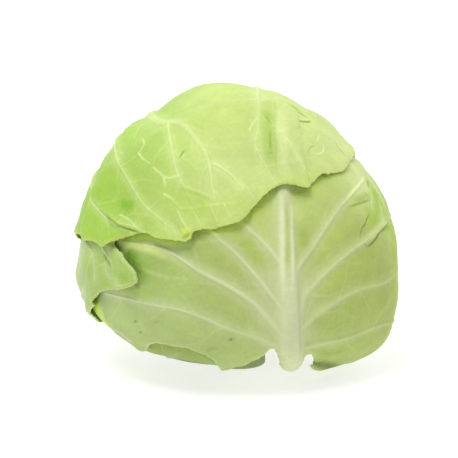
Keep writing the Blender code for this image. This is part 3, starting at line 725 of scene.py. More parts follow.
def front_leaf(below):
    """The broad leaf in front, with its thick midrib running down to a rounded foot beside the stump."""
    lower_left = [
        globe(13, -27.8), globe(11, -29.5), globe(7, -33), globe(4.5, -35.5), globe(0, -40),
        globe(-4.5, -43), globe(-9, -43), globe(-10.2, -35.5), globe(-13.2, -31), globe(-18.5, -28),
        globe(-24.5, -27), globe(-31, -27.5), globe(-36.5, -28.5), globe(-42.5, -33.5),
        globe(-47.8, -33.8), globe(-53, -31), globe(-55.8, -27.5), globe(-56, -23.3), globe(-58.2, -22.5),
        seen(-76.5, -40.5, 5), seen(-78.5, -37, 5), seen(-79.5, -32, 5), seen(-79, -26, 5),
    ]
    hidden = path(
        globe, -71, -12, -67, -1, -70, 10, -70, 26, -58, 45, -35, 60, 0, 68, 40, 66, 75, 58, 98, 46,
        108, 28, 108, 5, 104, -20, 96, -38, 84, -48, 70, -53,
    )
    lower_right = path(globe, 64, -56, 57, -54, 49, -51, 40.5, -43, 33.5, -35.5)
    foot = path(
        globe, 30, -34, 30.5, -38.5, 31.5, -42.5, 30, -46, 26, -47.5, 21.5, -44, 19.3, -39.5, 16.8, -34.5,
    )
    ribs = [
        Rib(
            [
                globe(27, -47.5), globe(25.5, -42), seen(28, -59), seen(27.5, -49.5), seen(26.9, -33),
                seen(25.9, -13.8), seen(24.8, 8.3), seen(24.2, 28.6), seen(22, 55), seen(21.5, 71),
            ],
            7.8, 5.0, 1.8, 0.8, 1.0, 0.95,
        ),
        Rib(
            path(seen, 26, -61.5, 15, -55.5, -5, -49.2, -30.3, -39.1, -60.5, -32.5, -75, -29),
            2.2, 1.2, shows=0.45, shows_at_tip=1.0,
        ),
        Rib(
            path(seen, 26, -54, 16, -43, 7.5, -34, -6, -25, -22.6, -16.5, -41.8, -5, -65.5, -0.3),
            2.8, 1.9, shows=0.8, shows_at_tip=1.0,
        ),
        Rib(path(seen, 25.5, -40, 18, -30.5, 8.8, -18.7, -2.8, -6, -14.9, 5, -36.9, 33), 2.0, 1.2),
        Rib(path(seen, 25, -16.5, 18.5, -6.5, 9, 3.5, 2.2, 9.9, -14.3, 38.5), 2.2, 1.3),
        Rib(
            path(seen, 28.5, -23, 34, -12, 40.5, -3.5, 50.6, 11.6, 60.5, 24.2, 69.9, 34.1),
            2.2, 1.3, shows=0.8, shows_at_tip=0.9,
        ),
        Rib(
            [
                seen(29.5, -49), seen(33, -40.5), seen(36.5, -29.5), seen(50.5, -15), seen(64.4, -3.9),
                seen(75.9, 4.4), globe(96, 10),
            ],
            2.6, 1.5, shows=0.85, shows_at_tip=0.5,
        ),
        Rib(
            [
                seen(29.5, -53), seen(38, -45), seen(49.3, -36.6), seen(65.7, -27.8), seen(84, -21),
                globe(100, -6),
            ],
            2.0, 1.1, shows=0.75, shows_at_tip=0.1,
        ),
        Rib(
            [seen(29.5, -62), seen(40, -58.4), seen(59.4, -54.5), seen(78.4, -46.8), globe(96, -26)],
            2.0, 1.1, shows=0.65, shows_at_tip=0.1,
        ),
    ]
    lifts = [(seen(4, -66), 1.0, 16), (globe(57, -53), 2.6, 12)]
    outline = lower_left + hidden + lower_right + foot
    leaf = Leaf("front_leaf_skin", seen(10, -5), outline, ribs, below, lifts)
    leaf.marks = [
        Mark(path(seen, 29, -62, 27.5, -45, 26, -25, 25, -8), 15.0, (202, 208, 162), 0.6),
        # Painted shade: dark olive over the lower right lobe, where it curls under.
        Mark(path(globe, 36, -39, 44, -43.5, 53, -46, 64, -48), 5.2, (104, 124, 24), 1),
        Mark(path(seen, 25.5, 24, 26, 8, 26, -5.5, 26, -18.5), 1.5, (176, 193, 104), 0.8, -0.3),
        Mark(path(seen, 29, 24, 29, 8, 29, -8, 28.5, -26.5), 1, (226, 232, 188), 0.6, 0.25),
        Mark(path(seen, 22.5, 23, 23, 8, 23, -8, 23.5, -26.5), 1.1, (224, 230, 184), 0.6, 0.2),
        Mark(path(seen, 33, 7, 36, 1.5, 34.5, -4.5), 3.4, (158, 184, 70), 0.6),
        Mark(path(seen, 1.5, 2, 6.5, -5.5, 11.5, -13), 3.4, (164, 186, 78), 0.6),
        Mark(path(seen, 40, -43, 45.5, -46, 51, -50), 3.4, (160, 184, 84), 0.45),
        # Painted shade along the line where the lower right lobe turns under.
        Mark(path(seen, 43, -62, 52, -63, 59, -61), 2.6, (150, 170, 76), 0.6),
        # Painted shadow of the left leaf's flap on this leaf: dark green close to the flap, paler beyond it.
        Mark(path(seen, -64, -5, -60, -9.5, -56, -15.5, -54.5, -20.5), 4, (108, 150, 24), 0.95),
        Mark(path(seen, -58, -9, -53, -15.5, -49, -22), 6.5, (154, 184, 84), 0.7),
        # Painted highlight along the rib that runs out under the flap, over its own pale colour.
        Mark(path(seen, -69.5, -2, -62, -1.5, -54.5, -3, -45.5, -6, -37, -10), 2.6, (214, 228, 140), 0.85),
        # Painted shade under the crown leaf's edge.
        Mark(path(seen, -66.5, 0.5, -59, 1.5, -51, 0), 2, (146, 180, 64), 0.6),
        Mark(path(seen, -65.5, -27.5, -57, -29, -49, -32), 3.2, (164, 192, 84), 0.6),
        Mark(path(seen, -56.5, -15, -48, -18, -38, -21, -25.5, -21), 1.2, (184, 202, 130), 0.6, 0.15),
        Mark(path(seen, -55.5, -51, -54, -50.5), 0.7, (122, 138, 80), 0.8, -0.2),
        Mark(path(seen, -58.5, -45.5, -57, -44.5), 0.7, (122, 140, 82), 0.8, -0.2),
        Mark(path(seen, -47, -45, -45.5, -45), 0.6, (136, 152, 90), 0.7, -0.2),
        Mark(path(seen, -6, -55.5, -4, -55), 0.8, (96, 112, 60), 0.85, -0.3),
        Mark(path(seen, -18, -61, -15.5, -59.5, -12.5, -59.5), 1, (150, 168, 96), 0.6, -0.2),
        # Painted highlight along the crinkled lower-left edge, on a slightly raised line.
        Mark(path(seen, -70, -48, -66.5, -50, -62.5, -54, -58.5, -56.5), 1.1, (206, 214, 170), 0.7, 0.2),
        Mark(path(seen, 32, -63.5, 32.5, -44, 32, -22), 1, (176, 184, 140), 0.5, -0.2),
        Mark(path(seen, 73, 31, 77.5, 24, 81, 16, 83.5, 6.5), 4.5, (166, 204, 56), 0.85),
        Mark(path(seen, 69, 18.5, 72, 14.5, 73, 9), 3, (168, 196, 74), 0.6),
        Mark(path(seen, 73, 31, 76, 23, 76.5, 15.5, 73.5, 6.5), 5.4, (160, 190, 52), 0.85),
        # The next five strokes are painted shade in the flap's crease and tear: sunk dark lines, and a green band of
        # shade above the crease.
        Mark(path(seen, 61, 18.5, 66.5, 20.5, 72.5, 22.5), 0.7, (132, 160, 58), 0.85, -0.3),
        Mark(path(seen, 64, 22, 69, 24, 72, 25.5), 2.2, (156, 186, 78), 0.7),
        Mark(path(seen, 72, 33.5, 72, 29.5), 0.5, (96, 124, 30), 0.9, -0.3),
        Mark(path(seen, 72, 27.5, 72, 21, 72, 15), 0.5, (150, 184, 62), 0.6, -0.1),
        Mark(path(seen, 72, 15, 70.5, 11.5, 70, 9, 68, 6.5, 67.5, 2), 0.5, (112, 138, 50), 0.9, -0.2),
        Mark(path(seen, 69.5, -0.5, 75.5, 5, 82, 12.5), 2.2, (200, 212, 142), 0.8, 0.3),
        # Painted shadow under the flap's torn lower edge, in a sunk dark line, with painted shade beside it in the
        # stroke after.
        Mark(
            path(seen, 70, -2, 71, -3.5, 74, -1.5, 77, 2, 78, 4.5, 83, 9.5),
            0.6, (96, 122, 32), 0.95, -0.4,
        ),
        Mark(path(seen, 78.5, 5.5, 82, 7, 84, 7.5), 1.8, (146, 180, 46), 0.85),
        Mark(path(seen, 82, 2, 84.5, 0, 86.5, -5.5), 2.4, (186, 208, 104), 0.6),
        Mark(path(seen, 58.5, 21.5, 64.5, 29, 70, 36), 0.9, (228, 240, 168), 0.95, 0.2),
        # These three strokes are painted shade and light under the crown leaf's edge: a saturated green band, bright
        # enough that the cast shadow there stays thin and green.
        Mark(
            path(seen, -25, 3.5, -18, 5, -12.5, 5.5, -2, 7.5, 4.5, 12, 10, 17.5, 16.5, 25, 21, 28, 26, 29),
            1.8, (178, 208, 76), 0.8,
        ),
        Mark(
            path(seen, 26, 29, 29, 27.5, 34.5, 27, 39, 28, 44.5, 32.5, 47, 35, 51, 36, 59.5, 39),
            1.5, (168, 198, 80), 0.75,
        ),
        Mark(
            path(seen, -65.5, -1, -58.5, 1.5, -51.5, 2, -44.5, 0, -37, -1.5, -29, -1),
            1.4, (190, 224, 76), 0.8,
        ),
    ]
    return leaf


def left_leaf(below):
    """The leaf round the left side, whose torn edge shows as a flap over the front leaf."""

    def over(x, up):
        return seen(x, up, 6)

    flap = path(
        over, -70.4, -0.6, -69.3, -3.3, -64.4, -6.9, -63.3, -8.8, -61, -12.1, -57.3, -16.8, -56.1, -21,
        -57, -23.8, -65.8, -26.9, -75.5, -28, -78.5, -30.5, -80.5, -33.5, -82, -36,
    )
    hidden = [
        globe(-95, -33), globe(-110, -44), globe(-122, -62), globe(-130, -69), globe(-138, -73),
        globe(-146, -68), globe(-155, -55), globe(-168, -35), globe(180, -8), globe(180, 16),
        globe(-168, 36), globe(-135, 46), globe(-95, 44), globe(-72, 32), globe(-60, 16), over(-64, 8),
    ]
    ribs = [
        Rib(
            [
                globe(-138, -69), globe(-136, -40), globe(-128, -12), globe(-108, 6), over(-84, -3),
                over(-79, -22),
            ],
            6.0, 3.4,
        ),
        Rib([globe(-128, 4), globe(-104, 18), over(-77, -3.3), over(-74, -17.6), over(-66, -24)], 1.8, 1.0),
        Rib([globe(-127, -48), globe(-112, -30), over(-85, -26)], 1.8, 1.0),
        Rib(path(globe, -143, -45, -156, -28, -170, -16), 1.8, 1.0),
        Rib(path(globe, -140, -18, -152, 2, -168, 14), 1.8, 1.0),
    ]
    lifts = [(over(-58, -18), 2.4, 12)]
    leaf = Leaf("left_leaf_skin", globe(-122, -8), flap + hidden, ribs, below, lifts)
    leaf.marks = [
        # Painted shade in a fold of the flap, sunk a little.
        Mark(path(over, -76, -8, -74, -11, -72, -14.5), 0.9, (132, 160, 68), 0.8, -0.3),
        Mark(path(over, -78, -3.5, -75.5, -6.5, -72.5, -10.5, -70, -15.5), 0.6, (206, 220, 148), 0.5, 0.2),
        Mark(path(over, -66.5, -18.5, -62, -20.5, -59, -22), 3, (150, 182, 76), 0.75),
        Mark(path(over, -70, -23, -65.5, -24.5, -61, -23.5, -58, -22.5), 0.5, (208, 222, 150), 0.5, 0.15),
        # Painted shade in the crevice between the flap and the front leaf.
        Mark(path(over, -84, -29.5, -83, -32.5, -82, -36), 0.5, (92, 112, 44), 0.9, -0.4),
        Mark(path(over, -81.5, -31.5, -80, -33.5), 1.2, (196, 214, 132), 0.6, 0.2),
        Mark(path(over, -81, -28, -77.5, -27.5, -75, -27.5), 1, (176, 196, 120), 0.5),
        Mark(path(over, -88, 0, -87.5, -9, -86.5, -17.5, -84, -25.5), 4, (178, 190, 148), 0.75),
    ]
    return leaf


def crown_leaf(below):
    """The big leaf that rises behind, closes over the crown and ends in a waved edge across the front."""

    def over(x, up):
        return seen(x, up, 7)

    front_edge = [
        over(-87.5, 1.6), over(-82, 0), over(-74.3, -3.3), over(-70.4, -1.1), over(-60, 2.8),
        over(-52.8, 4.4), over(-46.2, 1.9), over(-38, 0.6), over(-30.8, -0.3), over(-27, 1.4),
        over(-25.3, 5.2), over(-19.8, 6.6), over(-13.2, 7.2), over(-1.7, 10.2), over(3.9, 14.3),
        over(11, 22.6), over(20.9, 30.3), over(26.4, 31.1), over(34.7, 29.2), over(39.1, 30.3),
        over(46.2, 37.4), over(51.2, 38), over(60, 41), globe(80, 38),
    ]
    hidden = path(
        globe, 98, 38, 113, 30, 122, 14, 130, -4, 140, -24, 152, -44, 167, -60, 172, -68, 180, -73,
        -172, -68, -165, -58, -148, -40, -130, -22, -112, -10,
    )
    ribs = [
        Rib(
            [
                globe(180, -69), globe(-178, -40), globe(-176, -10), globe(-167, 18), globe(-150, 36),
                globe(-128, 47), over(-49, 70), over(-29.7, 63.3), over(-18.2, 46.8), over(-14.9, 27.5),
                over(-10.5, 14),
            ],
            7.0, 4.2, 0.8, 0.5,
        ),
        Rib(path(over, -40, 66.5, -38, 50.6, -35.2, 38.5, -28.6, 24.8, -20.9, 11), 1.4, 0.8),
        Rib(
            [
                globe(-156, 27), globe(-125, 38), over(-69.3, 49.5), over(-57.2, 24.8), over(-46.2, 13.8),
                over(-35, 5),
            ],
            2.2, 1.2,
        ),
        Rib([globe(-166, 4), globe(-130, 22), over(-83, 28.6), over(-72, 12.1), over(-54, 6.5)], 2.2, 1.3),
        Rib(path(globe, -170, -24, -142, -8, -112, 2), 2.0, 1.1),
        Rib(path(globe, -172, -48, -156, -34, -138, -22), 1.8, 1.0),
        Rib(path(over, -15, 44, -6, 38.5, 3.3, 27.5, 6.5, 20.8), 1.2, 0.7),
        Rib(
            [
                globe(-152, 41), globe(175, 62), globe(150, 77), over(11, 70.4), over(9.4, 52.3),
                over(19, 33.5),
            ],
            2.0, 1.1,
        ),
        Rib(path(over, 14, 68, 25.3, 58.3, 31.9, 48.4, 38, 36), 1.2, 0.7),
        Rib(path(globe, -168, 25, 170, 42, 135, 54, 104, 42), 2.0, 1.1),
        Rib(path(globe, 177, 0, 160, 14, 140, 22, 118, 18), 2.0, 1.1),
        Rib(path(globe, 174, -27, 162, -16, 148, -8, 134, -8), 1.8, 1.0),
        Rib(path(globe, 172, -50, 164, -38, 152, -32), 1.6, 0.9),
    ]
    lifts = [
        (over(-45, 2), 3.0, 13), (over(-30, 1), 1.6, 9), (over(-72, -2), 1.0, 9), (over(6, 18), 1.6, 12),
        (over(36, 30), 1.2, 10),
    ]
    leaf = Leaf("crown_leaf_skin", globe(-150, 62), front_edge + hidden, ribs, below, lifts)
    leaf.calm_front = True
    leaf.folds = [
        Fold(path(over, -83, 30, -78, 20.4, -72.6, 13.7, -65.4, 7.7, -51, 3.6), 1.8, 7),
        Fold(path(over, 19.5, 78, 20, 69, 19.5, 60, 20.5, 50, 20, 42, 21, 34), 0.6, 8),
    ]
    leaf.draw_veins(
        [
            path(over, -56.5, 49, -53.5, 45, -50, 42.5, -45.5, 38.5, -41, 35.5, -34.5, 37),
            path(over, -42.5, 35, -42, 31),
            path(over, -54, 56.5, -53, 53.5, -56.5, 48.5),
            path(over, -42, 26, -38, 23.5, -35, 20.5, -31.5, 18, -21.5, 19, -14, 20.5, -2, 20.5),
            path(over, -34, 15.5, -31, 10, -27, 4.5),
            path(over, -27, 19, -25.5, 15.5, -22.5, 10.5),
            path(over, -16.5, 20, -14.5, 15, -12.5, 11),
            path(over, -9, 21, -7, 16, -5, 12.5),
            path(over, -83, 28.5, -78, 19, -72.5, 12, -66.5, 7.5, -59.5, 4.5),
            path(over, 6, 63.5, 8, 67, 11, 70.5),
        ]
    )
    leaf.draw_veins([path(over, -56.5, 48.5, -61, 45, -66.5, 42)], 0.4, 0.2, 0.4)
    leaf.draw_veins([path(over, -66.5, 14.5, -61, 11.5, -56.5, 7.5, -52.5, 5)], 0.45, 0.25, 0.7)
    leaf.marks = [
        Mark(path(over, -33.5, 29.5, -27, 27, -20.5, 24.5, -14.5, 21), 1, (168, 196, 84), 0.7, -0.1),
        Mark(path(over, -32.5, 31.5, -26, 29, -19, 26, -12.5, 22.5), 0.5, (224, 240, 160), 0.35, 0.1),
        Mark(path(over, -38, 27.5, -31.5, 23, -24, 19, -16, 17), 6, (170, 197, 84), 0.75),
        # Painted shadow under the step of the fold on the left, in a sunk dark line.
        Mark(
            path(over, -72.5, 15, -70, 12, -65.5, 9, -61, 6.5, -56.5, 5, -53, 3.5),
            0.6, (112, 150, 44), 0.85, -0.1,
        ),
        # Painted shade in a small slit, beside its pale lip.
        Mark(path(over, -34, 47.5, -33, 49.5, -31.5, 51), 0.6, (120, 158, 62), 0.8, -0.3),
        Mark(path(over, -33, 47, -31.5, 49), 0.4, (226, 240, 168), 0.7, 0.2),
        Mark(path(over, -67.5, 21.5, -64, 20, -60, 20), 2.6, (126, 178, 46), 0.85, -0.2),
        Mark(path(over, -54.5, 45.5, -51.5, 43.5, -48.5, 41), 0.8, (152, 190, 78), 0.7, -0.1),
        Mark(path(over, -53.5, 45.5, -50, 43), 0.35, (222, 238, 160), 0.6, 0.1),
        Mark(
            path(over, -43.5, 23, -29.5, 18.5, -14.5, 16.5, -0.5, 20, 12.5, 29.5),
            6, (182, 206, 100), 0.55,
        ),
        Mark(path(over, 18, 31, 28, 33, 36.5, 33, 44.5, 38), 3.5, (190, 212, 104), 0.55),
        Mark(path(over, -32.5, 3.5, -30.5, 5, -28, 6, -26, 6), 1.4, (208, 224, 92), 0.9, 0.5),
        # Painted shade under the curl of the edge.
        Mark(path(over, -31, 1.5, -28.5, 3, -27, 4), 0.8, (150, 172, 58), 0.85, -0.2),
        # The next five strokes are painted shade along the ridge over the front leaf's midrib: a faint crease line,
        # a band of shade on its left and small sunk dark lines in that band.
        Mark(
            path(over, 19, 79, 20, 70, 19.5, 62, 20.5, 52, 20, 44, 21, 35),
            0.4, (158, 192, 84), 0.45, -0.05,
        ),
        Mark(path(over, 15.5, 75, 16, 63.5, 16.5, 52.5, 17, 41), 4.2, (166, 199, 86), 0.75),
        Mark(path(over, 14.5, 69.5, 17.5, 65.5), 0.6, (128, 166, 56), 0.75, -0.2),
        Mark(path(over, 17.5, 61.5, 17, 56, 17.5, 50.5), 0.7, (140, 178, 62), 0.75, -0.2),
        Mark(path(over, 16, 48.5, 18, 49), 0.4, (136, 172, 70), 0.7, -0.1),
        # Painted light on the ridge's lit right side.
        Mark(path(over, 23, 75, 23.5, 63.5, 24, 49.5, 25, 36.5), 3.6, (220, 236, 164), 0.6),
        # The sunk dark strokes from here down are small slits and a dent near the top, their darkness painted shade
        # in them.
        Mark(path(over, 18, 79, 22, 78, 25, 77.5), 0.5, (124, 156, 48), 0.8, -0.3),
        Mark(path(over, 18, 78, 22.5, 77), 0.35, (230, 242, 150), 0.7, 0.2),
        Mark(path(over, 27.5, 75, 32.5, 72, 38, 69), 0.6, (140, 172, 60), 0.75, -0.2),
        Mark(path(over, 33, 67.5, 37, 67, 40.5, 67), 0.5, (104, 138, 40), 0.9, -0.4),
        Mark(path(over, 33, 68.5, 37.5, 68, 42, 67.5), 0.4, (228, 240, 150), 0.7, 0.2),
        Mark(path(over, 39, 50, 40, 52.5, 42.5, 53.5), 0.5, (160, 186, 84), 0.8, -0.2),
        Mark(path(over, 43, 49, 45.5, 49, 47.5, 51, 47, 54), 0.5, (234, 244, 186), 0.8, 0.2),
        Mark(path(over, 45, 59.5, 43.5, 56), 0.4, (232, 244, 190), 0.6, 0.1),
        Mark(path(over, 50, 59, 53.5, 54.5, 56.5, 49.5), 1.6, (196, 214, 150), 0.5, 0.1),
        Mark(path(over, 54.5, 55, 56.5, 51.5, 59, 48), 0.45, (140, 160, 60), 0.7, -0.2),
        Mark(path(over, 32, 62.5, 34.5, 64, 36.5, 62.5), 0.6, (180, 206, 120), 0.5, -0.1),
    ]
    return leaf


def painted(tones, spread, rib_colour, vein_colour, edge_colour, rib_strength=0.85, vein_strength=0.6):
    """A rule that colours a leaf from tones at its places, its ribs and veins paler and its edge paler, partly its
    own colour and partly a painted glow of light.
    """

    def colouring(leaf, flat, directions, rib, vein, from_edge):
        colour = blended(directions, tones, spread)
        colour *= (1 + 0.03 * ripple(directions, 21, 14) + 0.02 * ripple(directions, 22, 50))[:, None]
        for mask, other in ((rib * rib_strength, rib_colour), (vein * vein_strength, vein_colour)):
            colour += (linear(*other) - colour) * mask[:, None]
        # The edge's paler colour is partly its own and partly painted light: a glow along the thin edge.
        edge = 0.5 * np.exp(-((from_edge / (1.3 * MM)) ** 2))
        colour += (linear(*edge_colour) - colour) * edge[:, None]
        return np.clip(colour, 0, 1)

    return colouring


def crown_tones():
    tones = [
        (seen(-15, 62), (199, 221, 124)), (seen(-52, 46), (179, 214, 104)), (seen(-66, 24), (150, 187, 60)),
        (seen(-40, 22), (184, 206, 114)), (seen(2, 42), (194, 213, 129)), (seen(50, 56), (206, 222, 140)),
        (seen(36, 40), (198, 215, 134)), (seen(-72, 5), (162, 202, 73)), (globe(-150, 30), (187, 212, 117)),
        (globe(160, 30), (191, 216, 122)), (globe(180, -30), (177, 202, 111)), (globe(-110, 5), (164, 199, 91)),
    ]
    return painted(tones, 26, (228, 240, 172), (230, 242, 168), (224, 234, 124), 0.85, 0.95)


def front_tones():
    tones = [
        (seen(-40, -14), (161, 184, 98)), (seen(-55, -40), (174, 194, 121)), (seen(-20, -50), (170, 189, 112)),
        (seen(5, -20), (169, 185, 104)), (seen(10, 12), (185, 201, 111)), (seen(45, 22), (182, 199, 113)),
        (seen(62, -10), (169, 186, 92)), (seen(55, -48), (174, 192, 106)), (seen(72, -32), (164, 180, 88)), (globe(90, 0), (176, 197, 88)),
        (globe(-60, 20), (190, 208, 120)),
        (seen(66, 38), (206, 223, 142)),
    ]
    return painted(tones, 22, (210, 216, 172), (200, 212, 150), (206, 218, 150), 0.95, 0.4)


def left_tones():
    tones = [
        (seen(-66, -16), (168, 195, 102)), (globe(-100, 0), (188, 206, 144)), (globe(-130, -30), (180, 200, 126)),
        (globe(-170, 10), (184, 206, 128)),
    ]
    return painted(tones, 26, (210, 220, 172), (208, 220, 160), (216, 228, 164))


def under_tones():
    tones = [
        # The bright tone at the pocket on the left is painted light, where this leaf lies in shade under the left
        # leaf.
        (seen(-38, -63), (122, 140, 54)), (seen(-78, -38), (196, 224, 84)), (globe(-20, -45), (164, 190, 88)),
        (globe(-60, -66), (128, 150, 76)),
    ]
    return painted(tones, 26, (188, 198, 150), (176, 190, 130), (190, 204, 130))


def right_tones():
    tones = [(globe(80, -30), (168, 188, 102)), (globe(125, 0), (184, 204, 118)), (globe(125, -50), (176, 194, 122))]
    return painted(tones, 30, (212, 220, 178), (204, 218, 156), (214, 226, 158))


def heart_piece():
    """The dense inner head, with the laps of its leaves and their ribs running together at the stump."""
    sides, rings = 260, 150
    lon, lat = np.meshgrid(np.linspace(0, 360, sides, endpoint=False), np.linspace(-89.2, 89.2, rings))
    lon_r, lat_r = np.radians(lon.ravel()), np.radians(lat.ravel())
    directions = np.stack([np.sin(lon_r) * np.cos(lat_r), -np.cos(lon_r) * np.cos(lat_r), np.sin(lat_r)], axis=-1)
    directions = np.concatenate([directions, [(0, 0, -1), (0, 0, 1)]])
    longitude = np.arctan2(directions[:, 0], -directions[:, 1])
    turn = (5 * longitude / (2 * math.pi) + 1.6 * directions[:, 2]) % 1.0
    lap = np.where(turn < 0.94, turn / 0.94, (1 - turn) / 0.06)
    fade = np.sqrt(np.clip(1 - directions[:, 2] ** 2, 0, 1))
    radius = form_radius(directions) - 0.9 * MM - 1.6 * MM * (1 - lap * fade)
    radius -= HEART_HOLLOW_DEPTH * ease((-directions[:, 2] - 0.35) / 0.4)
    spokes = np.abs(((7 * longitude / (2 * math.pi) + 0.35 * directions[:, 2]) + 0.5) % 1.0 - 0.5) / 7 * 2 * math.pi
    across = spokes * fade * 70 * MM
    low = ease((-directions[:, 2] - 0.25) / 0.6)
    rib = low * bell(across, (2.0 + 6.5 * low) * MM)
    radius += 0.7 * MM * rib
    corners = directions * radius[:, None]
    corners[:, 2] += CENTRE_HEIGHT
    corners[:, 2] = np.maximum(corners[:, 2], 13.3 * MM)
    tones = [(globe(0, -60), (204, 218, 150)), (globe(180, -60), (206, 220, 154)), (globe(0, 30), (206, 226, 144))]
    colour = blended(directions, tones, 60)
    colour *= (1 + 0.05 * ripple(directions, 31, 20))[:, None]
    colour += (linear(232, 236, 206) - colour) * (0.9 * rib)[:, None]
    shade = 1 - 0.35 * np.exp(-(((1 - turn) / 0.05) ** 2)) * fade
    colour *= shade[:, None]
    quads = []
    ring = np.arange(sides)
    after = (ring + 1) % sides
    for row in range(rings - 1):
        a, b = row * sides + ring, row * sides + after
        quads += [np.stack([a, b, b + sides], axis=1), np.stack([a, b + sides, a + sides], axis=1)]
    bottom, top = len(directions) - 2, len(directions) - 1
    quads.append(np.stack([np.full(sides, bottom), after, ring], axis=1))
    last = (rings - 1) * sides
    quads.append(np.stack([np.full(sides, top), last + ring, last + after], axis=1))
    return add_mesh("heart_skin", corners, np.concatenate(quads), colour, rib)


def stump_piece():
    """The cut stem: a slightly lobed side with fibres down it, and a flat cut with a paler ring and a soft core."""
    sides, height, radius = 160, 13.0 * MM, 15.0 * MM
    profile = [(0, 0.0), (4, 0), (8, 0), (10.5, 0), (12.2, 0), (13.4, 0.0), (14.3, 0.35), (14.8, 0.9), (15, 1.6)]
    profile += [(15, 4), (14.9, 7), (14.9, 10), (14.9, 12.6), (14.6, 13), (0, 13)]
    turn = np.arange(sides) / sides * 2 * math.pi
    rows, colours = [], []
    for r, z in profile[1:-1]:
        lobed = 1 - 0.02 - 0.02 * np.sin(5 * turn + 0.7) * min(1, z / 2) - 0.008 * np.sin(37 * turn) * min(1, z)
        rows.append(np.stack([r * MM * lobed * np.cos(turn), r * MM * lobed * np.sin(turn), np.full(sides, z * MM)], axis=1))
        # Rows from 11 mm out, the side among them, are darker: partly the stem's own greener colour and partly
        # painted shade, where the side stands in shadow under the head.
        tone = linear(226, 228, 196) if r < 11 else linear(162, 172, 124)
        tone = linear(236, 236, 212) if 10 < r < 13 and z == 0 else tone
        colours.append(np.tile(tone, (sides, 1)) * (1 + 0.03 * np.sin(37 * turn))[:, None])
    corners = np.concatenate(rows + [[(0, 0, 0), (0, 0, height)]])
    colour = np.concatenate(colours + [[linear(214, 214, 180), linear(214, 214, 180)]])
    ring = np.arange(sides)
    after = (ring + 1) % sides
    faces = []
    for row in range(len(rows) - 1):
        a, b = row * sides + ring, row * sides + after
        faces += [np.stack([a, b, b + sides], axis=1), np.stack([a, b + sides, a + sides], axis=1)]
    bottom, top = len(corners) - 2, len(corners) - 1
    faces.append(np.stack([np.full(sides, bottom), after, ring], axis=1))
    last = (len(rows) - 1) * sides
    faces.append(np.stack([np.full(sides, top), last + ring, last + after], axis=1))
    return add_mesh("stump_skin", corners, np.concatenate(faces), colour, np.full(len(corners), 0.5))


def place(piece, node, material):
    piece.data.materials.append(material)
    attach(piece, "root")
    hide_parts(node)


def soft_sky():
    """White all round, dimmer from the front than from behind and above."""
    world = bpy.data.worlds.new("soft_white")
    bpy.context.scene.world = world
    world.use_nodes = True
    nodes, links = world.node_tree.nodes, world.node_tree.links
    place = nodes.new("ShaderNodeTexCoord")
    parts = nodes.new("ShaderNodeSeparateXYZ")
    strength = nodes.new("ShaderNodeMapRange")
    strength.inputs["From Min"].default_value = -0.9
    strength.inputs["From Max"].default_value = 0.5
    strength.inputs["To Min"].default_value = 0.28
    strength.inputs["To Max"].default_value = 1.0
    links.new(place.outputs["Generated"], parts.inputs["Vector"])
    links.new(parts.outputs["Y"], strength.inputs["Value"])
    links.new(strength.outputs["Result"], nodes["Background"].inputs["Strength"])
    nodes["Background"].inputs["Color"].default_value = (1, 1, 1, 1)


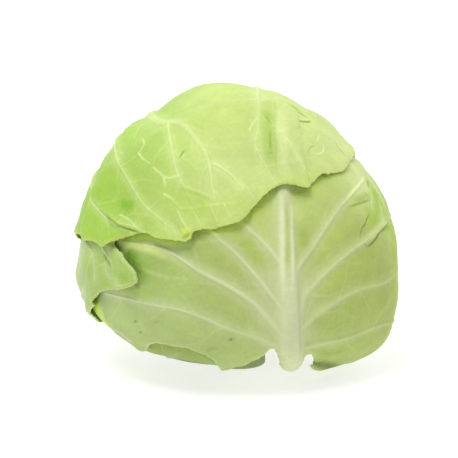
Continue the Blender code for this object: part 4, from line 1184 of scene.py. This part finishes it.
def floor_and_light():
    bpy.ops.mesh.primitive_plane_add(size=6)
    floor = bpy.context.object
    floor.name = "floor"
    made = bpy.data.materials.new("floor_white")
    made.use_nodes = True
    made.node_tree.nodes["Principled BSDF"].inputs["Base Color"].default_value = (0.4, 0.4, 0.4, 1)
    made.node_tree.nodes["Principled BSDF"].inputs["Emission Color"].default_value = (1, 1, 1, 1)
    made.node_tree.nodes["Principled BSDF"].inputs["Emission Strength"].default_value = 0.7
    made.node_tree.nodes["Principled BSDF"].inputs["Roughness"].default_value = 0.9
    floor.data.materials.append(made)
    soft_sky()
    for name, spot, width, strength in (("key_light", (-0.3, -0.62, 1.3), 26, 1.6), ("fill_light", (0.9, -0.5, 0.9), 60, 0.15)):
        light = bpy.data.lights.new(name, "SUN")
        light.angle = math.radians(width)
        light.energy = strength
        lamp = bpy.data.objects.new(name, light)
        lamp.rotation_euler = (-Vector(spot)).to_track_quat("-Z", "Y").to_euler()
        bpy.context.scene.collection.objects.link(lamp)
    bpy.context.scene.view_settings.view_transform = "Standard"


def camera():
    right = Vector((1, 0, 0))
    back = Vector((0, -math.cos(EYE_TILT), math.sin(EYE_TILT)))
    top = Vector((0, math.sin(EYE_TILT), math.cos(EYE_TILT)))
    lens = bpy.data.cameras.new("camera")
    lens.sensor_width = SENSOR_WIDTH
    lens.lens = SENSOR_WIDTH * EYE_DISTANCE / PICTURE_WIDTH
    eye = bpy.data.objects.new("camera", lens)
    across, up = PICTURE_CENTRE
    eye.location = Vector((0, 0, CENTRE_HEIGHT)) + right * across + top * up + back * EYE_DISTANCE
    eye.rotation_euler = (math.pi / 2 - EYE_TILT, 0, 0)
    bpy.context.scene.collection.objects.link(eye)
    bpy.context.scene.camera = eye


def dress():
    """Every piece of the head, in the place of its solid."""
    under, right = under_leaf(), right_leaf()
    front = front_leaf([under, right])
    left = left_leaf([under, right, front])
    crown = crown_leaf([right, front, left])
    for seed, leaf in enumerate((under, right, front, left, crown)):
        leaf.grow_veins(40 + seed, 26, 26, (38, 62))
    for leaf, node, tones in (
        (under, "under_leaf", under_tones()),
        (right, "right_leaf", right_tones()),
        (front, "front_leaf", front_tones()),
        (left, "left_leaf", left_tones()),
        (crown, "crown_leaf", crown_tones()),
    ):
        piece = leaf.build(tones)
        place(piece, node, leaf_material(node + "_skin"))
        print(node, len(piece.data.polygons), "triangles")
    place(heart_piece(), "heart", leaf_material("heart_skin", 0.4))
    place(stump_piece(), "stump", leaf_material("stump_skin", 0.6, 0.06, 0.02))


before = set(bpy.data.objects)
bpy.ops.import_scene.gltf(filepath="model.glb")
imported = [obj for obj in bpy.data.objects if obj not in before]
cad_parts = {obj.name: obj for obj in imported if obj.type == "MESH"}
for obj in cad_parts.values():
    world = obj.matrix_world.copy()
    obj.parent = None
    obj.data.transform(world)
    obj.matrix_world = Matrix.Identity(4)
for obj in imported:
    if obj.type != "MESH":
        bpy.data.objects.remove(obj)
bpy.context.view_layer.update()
dress()
floor_and_light()
camera()
